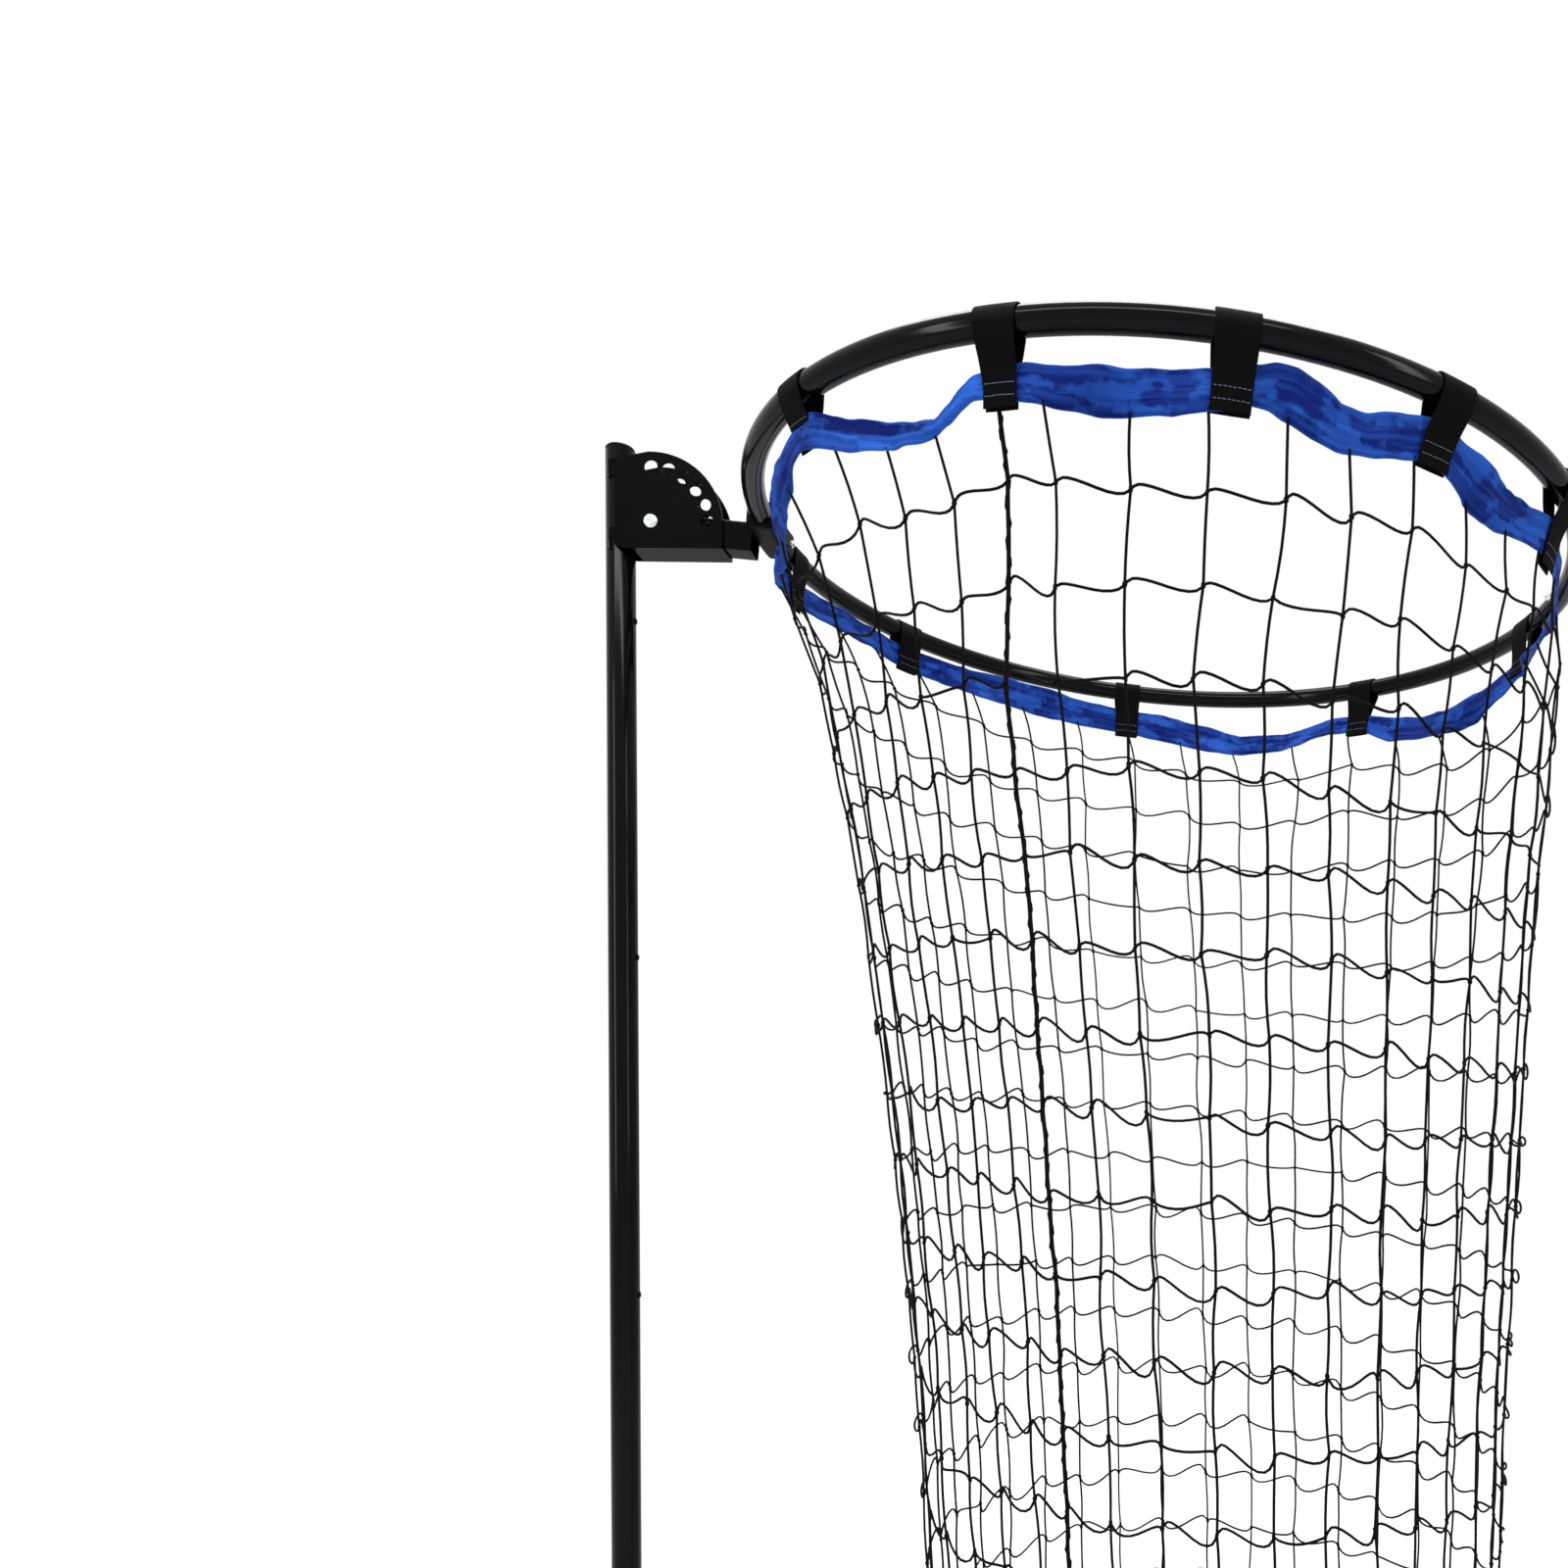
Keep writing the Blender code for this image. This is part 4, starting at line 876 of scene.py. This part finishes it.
def hem_point(angle, share):
    """A point of the hem's middle sheet: share 0 is its lower edge, 1 its upper edge."""
    top = hem_edge(angle, 1)
    low = hem_edge(angle, 2)
    loose = 1.0 - strap_hold(angle)
    drop = low + (top - low) * share
    a = math.radians(angle)
    # Noise is read along a circle, so that it closes: a broad lean, swells and small creases
    round_it = Vector((math.cos(a), math.sin(a), 0.0))
    lean = noise.noise(round_it * 4.2 + Vector((3.1, 0.0, 0.0)))
    swell = noise.noise(round_it * 11.0 + Vector((0.0, 7.3, share * 0.9)))
    crease = noise.noise(round_it * 34.0 + Vector((5.0, 0.0, share * 2.1)))
    # Inwards between the straps, outside the first strap, and with its lower edge in by the joint
    far_off = min(1.0, max(0.0, from_strap(angle) - 4.0) / 20.0)
    pull = 0.015 + 0.014 * near_to(angle, -164.0, 0.0, 25.0)
    over_strap = 0.0034 * near_to(angle, STRAPS[0][0], 3.4, 4.5)
    tucked = 0.030 * near_to(angle, -6.0, 0.0, 11.0) * (1.0 - share)
    fold = (0.5 + lean) * (1.0 - abs(2.0 * share - 1.0))
    out = -LEG_LEAN * drop - loose * 0.004 - pull * far_off**1.5 + over_strap - tucked
    out += loose * (0.011 * lean * (share - 0.5) * 2.0 + 0.0050 * swell + 0.0018 * crease + 0.0035 * fold)
    ruck = loose * 0.0015 * noise.noise(round_it * 23.0 + Vector((0.0, 0.0, 9.0 + share)))
    return on_hoop(angle, out, -drop + ruck)


def build_hem():
    """The tape round the netting's upper edge: sagging, leaning and creased between the straps."""
    shape = bmesh.new()
    layer = shape.loops.layers.uv.new("UVMap")
    bmesh.ops.create_grid(shape, x_segments=HEM_STATIONS, y_segments=HEM_ROWS, size=0.5)
    reach = TAU * HOOP_RADIUS
    flat = {}
    for vert in shape.verts:
        round_share = vert.co.x + 0.5
        share = vert.co.y + 0.5
        flat[vert] = (round_share * reach, share * HEM_HEIGHT)
        vert.co = hem_point(HEM_START + 360.0 * round_share, share)
    for face in shape.faces:
        for loop in face.loops:
            loop[layer].uv = flat[loop.vert]
    bmesh.ops.remove_doubles(shape, verts=shape.verts, dist=1e-5)
    bmesh.ops.recalc_face_normals(shape, faces=shape.faces)
    thing = piece("hem_tape", shape, TAPE, "hoop", ("hem_band",))
    wall = thing.modifiers.new("thickness", "SOLIDIFY")
    wall.thickness = HEM_THICK
    wall.offset = 0.0
    length = sum(
        (hem_point(a + 1.0, 0.5) - hem_point(float(a), 0.5)).length for a in range(0, 360)
    )


# Netting


def net_radius(depth):
    return HOOP_RADIUS - eased(NET_INSETS, depth)


def net_middle(depth):
    return HOOP_CENTRE_X + eased(NET_SIDEWAYS, depth)


def net_place(hem_angle, low_angle, depth, row=None):
    """A point of the netting on a string this deep under the hem. Rows keep the hoop's slope until
    near the bottom, and the first ones keep some of the hem's shape too."""
    turned = min(1.0, max(0.0, depth) / TURNS_BY_DEPTH)
    angle = hem_angle + (low_angle - hem_angle) * turned * (2.0 - turned)
    a = math.radians(angle)
    x = net_middle(depth) + net_radius(depth) * math.cos(a)
    y = net_radius(depth) * math.sin(a)
    even = min(1.0, max(0.0, depth - NET_LEVELS_FROM) / (NET_DEPTH - NET_LEVELS_FROM))
    slope = (x - HOOP_CENTRE_X) * math.tan(HOOP_DROOP) * (1.0 - even)
    z = HOOP_HEIGHT - NET_TOP - depth - slope
    if row is not None and row < len(HEM_SHAPE_BY_ROW):
        z -= (hem_edge(hem_angle, 2) - HEM_USUAL_DROP) * HEM_SHAPE_BY_ROW[row]
    return Vector((x, y, z))


def net_knots():
    """The knots' places by string and row, with small random strays."""
    wander = random.Random(7)
    knots = []
    for hem_angle, low_angle in STRINGS:
        line = [hem_point(hem_angle, 0.12)]
        for row in range(NET_ROWS):
            depth = NET_FIRST_ROW - NET_TOP + row * NET_PITCH
            stray = wander.uniform(-KNOT_TURN_STRAY, KNOT_TURN_STRAY)
            at = net_place(hem_angle + stray, low_angle + stray, depth, row + 1)
            at.z += wander.uniform(-KNOT_RISE_STRAY, KNOT_RISE_STRAY)
            line.append(at)
        line.append(net_place(hem_angle, low_angle, NET_DEPTH))
        knots.append(line)
    return knots


def strings(name, lines, radius, body, replaces=(), closed=False, sides=1, finish=None):
    """Lines of points as round twine, made one mesh."""
    curve = bpy.data.curves.new(name, "CURVE")
    curve.dimensions = "3D"
    curve.bevel_depth = radius
    curve.bevel_resolution = sides
    curve.use_fill_caps = True
    for line in lines:
        spline = curve.splines.new("POLY")
        spline.points.add(len(line) - 1)
        spline.points.foreach_set("co", [v for point in line for v in (*point, 1.0)])
        spline.use_cyclic_u = closed
        spline.use_smooth = True
    holder = bpy.data.objects.new(f"{name}_line", curve)
    bpy.context.scene.collection.objects.link(holder)
    bpy.context.view_layer.update()
    mesh = bpy.data.meshes.new_from_object(holder.evaluated_get(bpy.context.evaluated_depsgraph_get()))
    bpy.data.objects.remove(holder)
    mesh.name = name
    mesh.materials.clear()
    mesh.materials.append(finish or TWINE)
    thing = bpy.data.objects.new(name, mesh)
    return settle(thing, body, replaces)


def hang(thing):
    """Bakes the netting piece's place into its mesh."""
    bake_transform(thing)


def down_line(line, seed):
    """A string through its knots, with a slight bow between them."""
    wander = random.Random(seed)
    points = [line[0]]
    for a, b in zip(line, line[1:]):
        bow = Vector((wander.uniform(-1, 1), wander.uniform(-1, 1), 0.0)) * STRING_BOW
        for t in (0.25, 0.5, 0.75):
            points.append(a.lerp(b, t) + bow * math.sin(math.pi * t))
        points.append(b)
    return points


# A row's string between two knots: share of the way, and rise as a share of the wave's size
WAVE = (
    (0.00, 0.00),
    (0.04, 0.50),
    (0.10, 0.95),
    (0.17, 1.00),
    (0.28, 0.78),
    (0.42, 0.30),
    (0.56, -0.28),
    (0.70, -0.78),
    (0.82, -1.00),
    (0.91, -0.90),
    (0.97, -0.45),
)


def row_line(knots, row):
    """A row's string: high just past each knot, sagging towards the next, with a quick rise at it."""
    wander = random.Random(100 + row)
    points = []
    count = len(knots)
    deep = row / NET_ROWS
    for c in range(count):
        a, b = knots[c][row], knots[(c + 1) % count][row]
        size = wander.uniform(0.0035, 0.0085) * (1.0 + 0.8 * deep)
        if wander.random() < 0.18:
            size *= wander.uniform(-0.8, 0.1)
        slack = wander.uniform(0.0, 0.005) * (1.0 + deep)
        bulge = wander.uniform(-0.004, 0.009) * (0.5 + deep)
        outward = Vector((a.x - net_middle(1.0), a.y, 0.0)).normalized()
        for t, rise in WAVE:
            at = a.lerp(b, t)
            at.z += size * rise - slack * 4.0 * t * (1.0 - t)
            points.append(at + outward * bulge * math.sin(math.pi * t))
    return points


def build_netting():
    """All the strings down, the rows round, the knots, the laced seam and the border cord."""
    knots = net_knots()
    rows = NET_ROWS + 1
    downs = [down_line(line, 500 + k) for k, line in enumerate(knots) if k != SEAM]
    hang(strings("net_strings_down", downs, TWINE_RADIUS, None, ("net_mesh",)))
    rounds = [row_line(knots, row) for row in range(1, rows)]
    hang(strings("net_rows", rounds, TWINE_RADIUS, None, closed=True))
    border = [line[-1] for line in knots]
    strings("net_border_cord", [border], BORDER_RADIUS, "net", ("net_bottom_cord",), True, 2)
    build_knots(knots, rows)
    build_seam(knots[SEAM])


def build_knots(knots, rows):
    """A small hard knot at each crossing."""
    wander = random.Random(21)
    shape = bmesh.new()
    for line in knots:
        for row in range(1, rows):
            made = bmesh.ops.create_uvsphere(shape, u_segments=6, v_segments=4, radius=KNOT_RADIUS)
            turn = Matrix.Rotation(wander.uniform(0, TAU), 4, "Z")
            tip = Matrix.Rotation(wander.uniform(-0.6, 0.6), 4, "X")
            stretch = Matrix.Diagonal((1.1, 0.85, wander.uniform(1.1, 1.5), 1.0))
            place = Matrix.Translation(line[row]) @ turn @ tip @ stretch
            bmesh.ops.transform(shape, matrix=place, verts=made["verts"])
    bmesh.ops.recalc_face_normals(shape, faces=shape.faces)
    hang(piece("net_knots", shape, TWINE, None, ()))


def build_seam(line):
    """The netting's two edges laced together: a doubled string with a lacing wound along it."""
    a = math.radians(STRINGS[SEAM][1])
    aside = Vector((-math.sin(a), math.cos(a), 0.0))
    outside = Vector((math.cos(a), math.sin(a), 0.0))
    core = []
    lace = []
    turns = 0.0
    for top, low in zip(line, line[1:]):
        for k in range(LACE_STEPS):
            at = top.lerp(low, k / LACE_STEPS)
            at += aside * 0.0022 * noise.noise(Vector((at.z * 21.0, 0.3, 0.0)))
            core.append(at)
            turns += TAU / LACE_STEPS_A_TURN
            lace.append(at + (aside * math.cos(turns) + outside * math.sin(turns)) * SEAM_RADIUS)
    core.append(line[-1])
    hang(strings("net_seam_core", [core], SEAM_RADIUS, None))
    hang(strings("net_seam_lace", [lace], LACE_RADIUS, None))


# Bracket and mast details


def build_welds():
    """Weld beads where the bracket's tabs meet the mast."""
    beads = []
    for side in (-1.0, 1.0):
        for low, high in ((UPPER_TAB_LOW, BRACKET_SHOULDER), (BRACKET_BOTTOM, LOWER_TAB_HIGH)):
            bead = []
            for k in range(WELD_POINTS):
                x = -TAB_REACH - WELD_OUT + WELD_WAVER * math.sin(k * 2.1)
                z = PIVOT_Z + low + (high - low) * k / (WELD_POINTS - 1)
                bead.append(Vector((x, side * (MAST_RADIUS - WELD_SINK), z)))
            beads.append(bead)
    strings("bracket_welds", beads, WELD_RADIUS, "mast", sides=2, finish=WELD)


def round_tube(node, name, outer, inner, finish, body):
    """A round tube in place of a CAD tube round the mast's axis, with softened rims."""
    low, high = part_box(node)
    shape = bmesh.new()
    corners = [(inner, low[2]), (outer, low[2]), (outer, high[2]), (inner, high[2])]
    verts = [shape.verts.new((r, 0.0, z)) for r, z in corners]
    for first, second in zip(verts, verts[1:] + verts[:1]):
        shape.edges.new((first, second))
    bmesh.ops.spin(
        shape, geom=shape.verts[:] + shape.edges[:], cent=(0, 0, 0), axis=(0, 0, 1), angle=TAU,
        steps=MAST_SIDES, use_merge=True,
    )
    bmesh.ops.remove_doubles(shape, verts=shape.verts, dist=1e-6)
    rims = [e for e in shape.edges if e.calc_face_angle(0.0) > math.radians(60)]
    bmesh.ops.bevel(
        shape, geom=rims, offset=RIM_ROUND, offset_type="OFFSET", segments=2, profile=0.5,
        affect="EDGES", clamp_overlap=True, material=-1,
    )
    bmesh.ops.recalc_face_normals(shape, faces=shape.faces)
    return piece(name, shape, finish, body, (node,), 40)


def build_mast():
    round_tube("mast_upper_tube", "upper_mast", MAST_RADIUS, MAST_RADIUS - MAST_WALL, GLOSS, "mast")
    round_tube("mast_outer_tube", "outer_mast", OUTER_RADIUS, OUTER_RADIUS - OUTER_WALL, GLOSS, "base")


def build_saddle():
    """The moulded block that clamps the hoop's tube on the arm's end, its long edges rounded."""
    shape = bmesh.new()
    ring = bmesh.ops.create_circle(shape, segments=4, radius=SADDLE_SIDE / math.sqrt(2))
    square = Matrix.Rotation(math.pi / 2, 3, "X") @ Matrix.Rotation(math.pi / 4, 3, "Z")
    bmesh.ops.rotate(shape, verts=ring["verts"], matrix=square)
    bmesh.ops.translate(shape, verts=ring["verts"], vec=(HOOP_RADIUS + SADDLE_OUT, 0.0, 0.0))
    turn = Matrix.Rotation(math.radians(180.0 - SADDLE_HALF), 3, "Z")
    bmesh.ops.rotate(shape, verts=ring["verts"], matrix=turn)
    bmesh.ops.spin(
        shape, geom=shape.edges[:], cent=(0, 0, 0), axis=(0, 0, 1), angle=math.radians(2 * SADDLE_HALF),
        steps=SADDLE_STEPS, use_merge=False,
    )
    bmesh.ops.holes_fill(shape, edges=[e for e in shape.edges if e.is_boundary], sides=0)
    bmesh.ops.recalc_face_normals(shape, faces=shape.faces)
    corners = [e for e in shape.edges if e.calc_face_angle(0.0) > math.radians(60)]
    bmesh.ops.bevel(
        shape, geom=corners, offset=SADDLE_ROUND, offset_type="OFFSET", segments=5, profile=0.5,
        affect="EDGES", clamp_overlap=True, material=-1,
    )
    bmesh.ops.transform(shape, matrix=HOOP, verts=shape.verts)
    piece("saddle_block", shape, PLASTIC, "hoop", ("arm_saddle",), 40)


def build_softened_pieces():
    """The CAD pieces whose edges are rounded over."""
    softened("tilt_bracket", 0.0006, POWDER, "mast")
    softened("hoop_arm", 0.0005, POWDER, "hoop")
    for end in ("back", "front"):
        softened(f"base_cross_{end}", 0.0008, POWDER, "base")
        softened(f"base_plate_{end}", 0.0007, POWDER, "base")
    softened("base_spine", 0.0008, POWDER, "base")
    softened("mast_socket", 0.0006, POWDER, "base")
    softened("clamp_knob", 0.0008, PLASTIC, "clamp")


# Camera, light and floor


def build_camera():
    lens = bpy.data.cameras.new("camera")
    lens.sensor_width = 36.0
    lens.lens = 36.0 * FOCAL / PICTURE
    lens.shift_x = (PICTURE / 2 - CENTRE_X) / PICTURE
    lens.shift_y = (CENTRE_Y - PICTURE / 2) / PICTURE
    camera = bpy.data.objects.new("camera", lens)
    bpy.context.scene.collection.objects.link(camera)
    turn = Matrix.Rotation(-CAMERA_YAW, 4, "Z") @ Matrix.Rotation(math.pi / 2 + CAMERA_PITCH, 4, "X")
    camera.matrix_world = Matrix.Translation(CAMERA_PLACE) @ turn @ Matrix.Rotation(CAMERA_ROLL, 4, "Z")
    bpy.context.scene.camera = camera


def soft_box(name, place, aim, wide, high, power):
    light = bpy.data.lights.new(name, "AREA")
    light.shape = "RECTANGLE"
    light.size = wide
    light.size_y = high
    light.energy = power
    lamp = bpy.data.objects.new(name, light)
    bpy.context.scene.collection.objects.link(lamp)
    lamp.location = place
    lamp.rotation_euler = (Vector(aim) - Vector(place)).to_track_quat("-Z", "Y").to_euler()


def build_light():
    soft_box("left_box", (-2.4, -2.4, 2.6), (0.3, 0.0, 1.7), 0.45, 2.8, 55)
    soft_box("right_box", (3.4, -2.4, 2.8), (0.6, 0.0, 1.7), 0.45, 2.8, 45)
    soft_box("front_strip", (0.3, -3.2, 5.1), (0.6, 0.0, 2.2), 4.4, 0.50, 120)
    soft_box("top_box", (0.6, 0.6, 5.0), (0.6, 0.0, 1.0), 2.4, 1.2, 70)
    world = bpy.data.worlds.new("studio")
    bpy.context.scene.world = world
    world.use_nodes = True
    made = Nodes(world.node_tree)
    room = made.node("ShaderNodeBackground", {}, {"Color": WHITE, "Strength": ROOM_LEVEL})
    white = made.node("ShaderNodeBackground", {}, {"Color": WHITE})
    made.show("World Output", made.node("ShaderNodeMixShader", {}, {0: made.seen(), 1: room, 2: white}))


def build_floor():
    """A pale floor that reads white, with the object's shadow kept."""
    made = Finish("pale_floor", 0.9, Specular_IOR_Level=0.0)
    speckle = made.grain(3.0, 3.0)
    made.feed("Base Color", made.blend(speckle, (0.78, 0.78, 0.78), (0.80, 0.80, 0.80)))
    reach = {0: made.surface(), 1: FLOOR_MIDDLE}
    away = made.node("ShaderNodeVectorMath", {"operation": "DISTANCE"}, reach, "Value")
    far_off = made.level(away * 0.25, ((0.25, 0.0), (0.75, 1.0)))
    near_lift = made.node("ShaderNodeEmission", {}, {"Strength": NEAR_LIFT})
    far_lift = made.node("ShaderNodeEmission", {}, {"Strength": FAR_LIFT})
    lift = made.node("ShaderNodeMixShader", {}, {0: far_off, 1: near_lift, 2: far_lift})
    plain = Value(made.tree, made.shader.outputs[0])
    lifted = made.node("ShaderNodeAddShader", {}, {0: plain, 1: lift})
    mixed = made.node("ShaderNodeMixShader", {}, {0: made.seen(), 1: plain, 2: lifted})
    made.show("Material Output", mixed)
    shape = bmesh.new()
    bmesh.ops.create_grid(shape, x_segments=1, y_segments=1, size=FLOOR_HALF)
    mesh = bpy.data.meshes.new("floor")
    shape.to_mesh(mesh)
    shape.free()
    mesh.materials.append(made.material)
    floor = bpy.data.objects.new("floor", mesh)
    bpy.context.scene.collection.objects.link(floor)


repaint_cad_pieces()
build_hoop()
build_straps()
build_hem()
build_netting()
build_welds()
build_mast()
build_softened_pieces()
build_saddle()
build_camera()
build_light()
build_floor()

bpy.context.scene.view_settings.view_transform = "Standard"
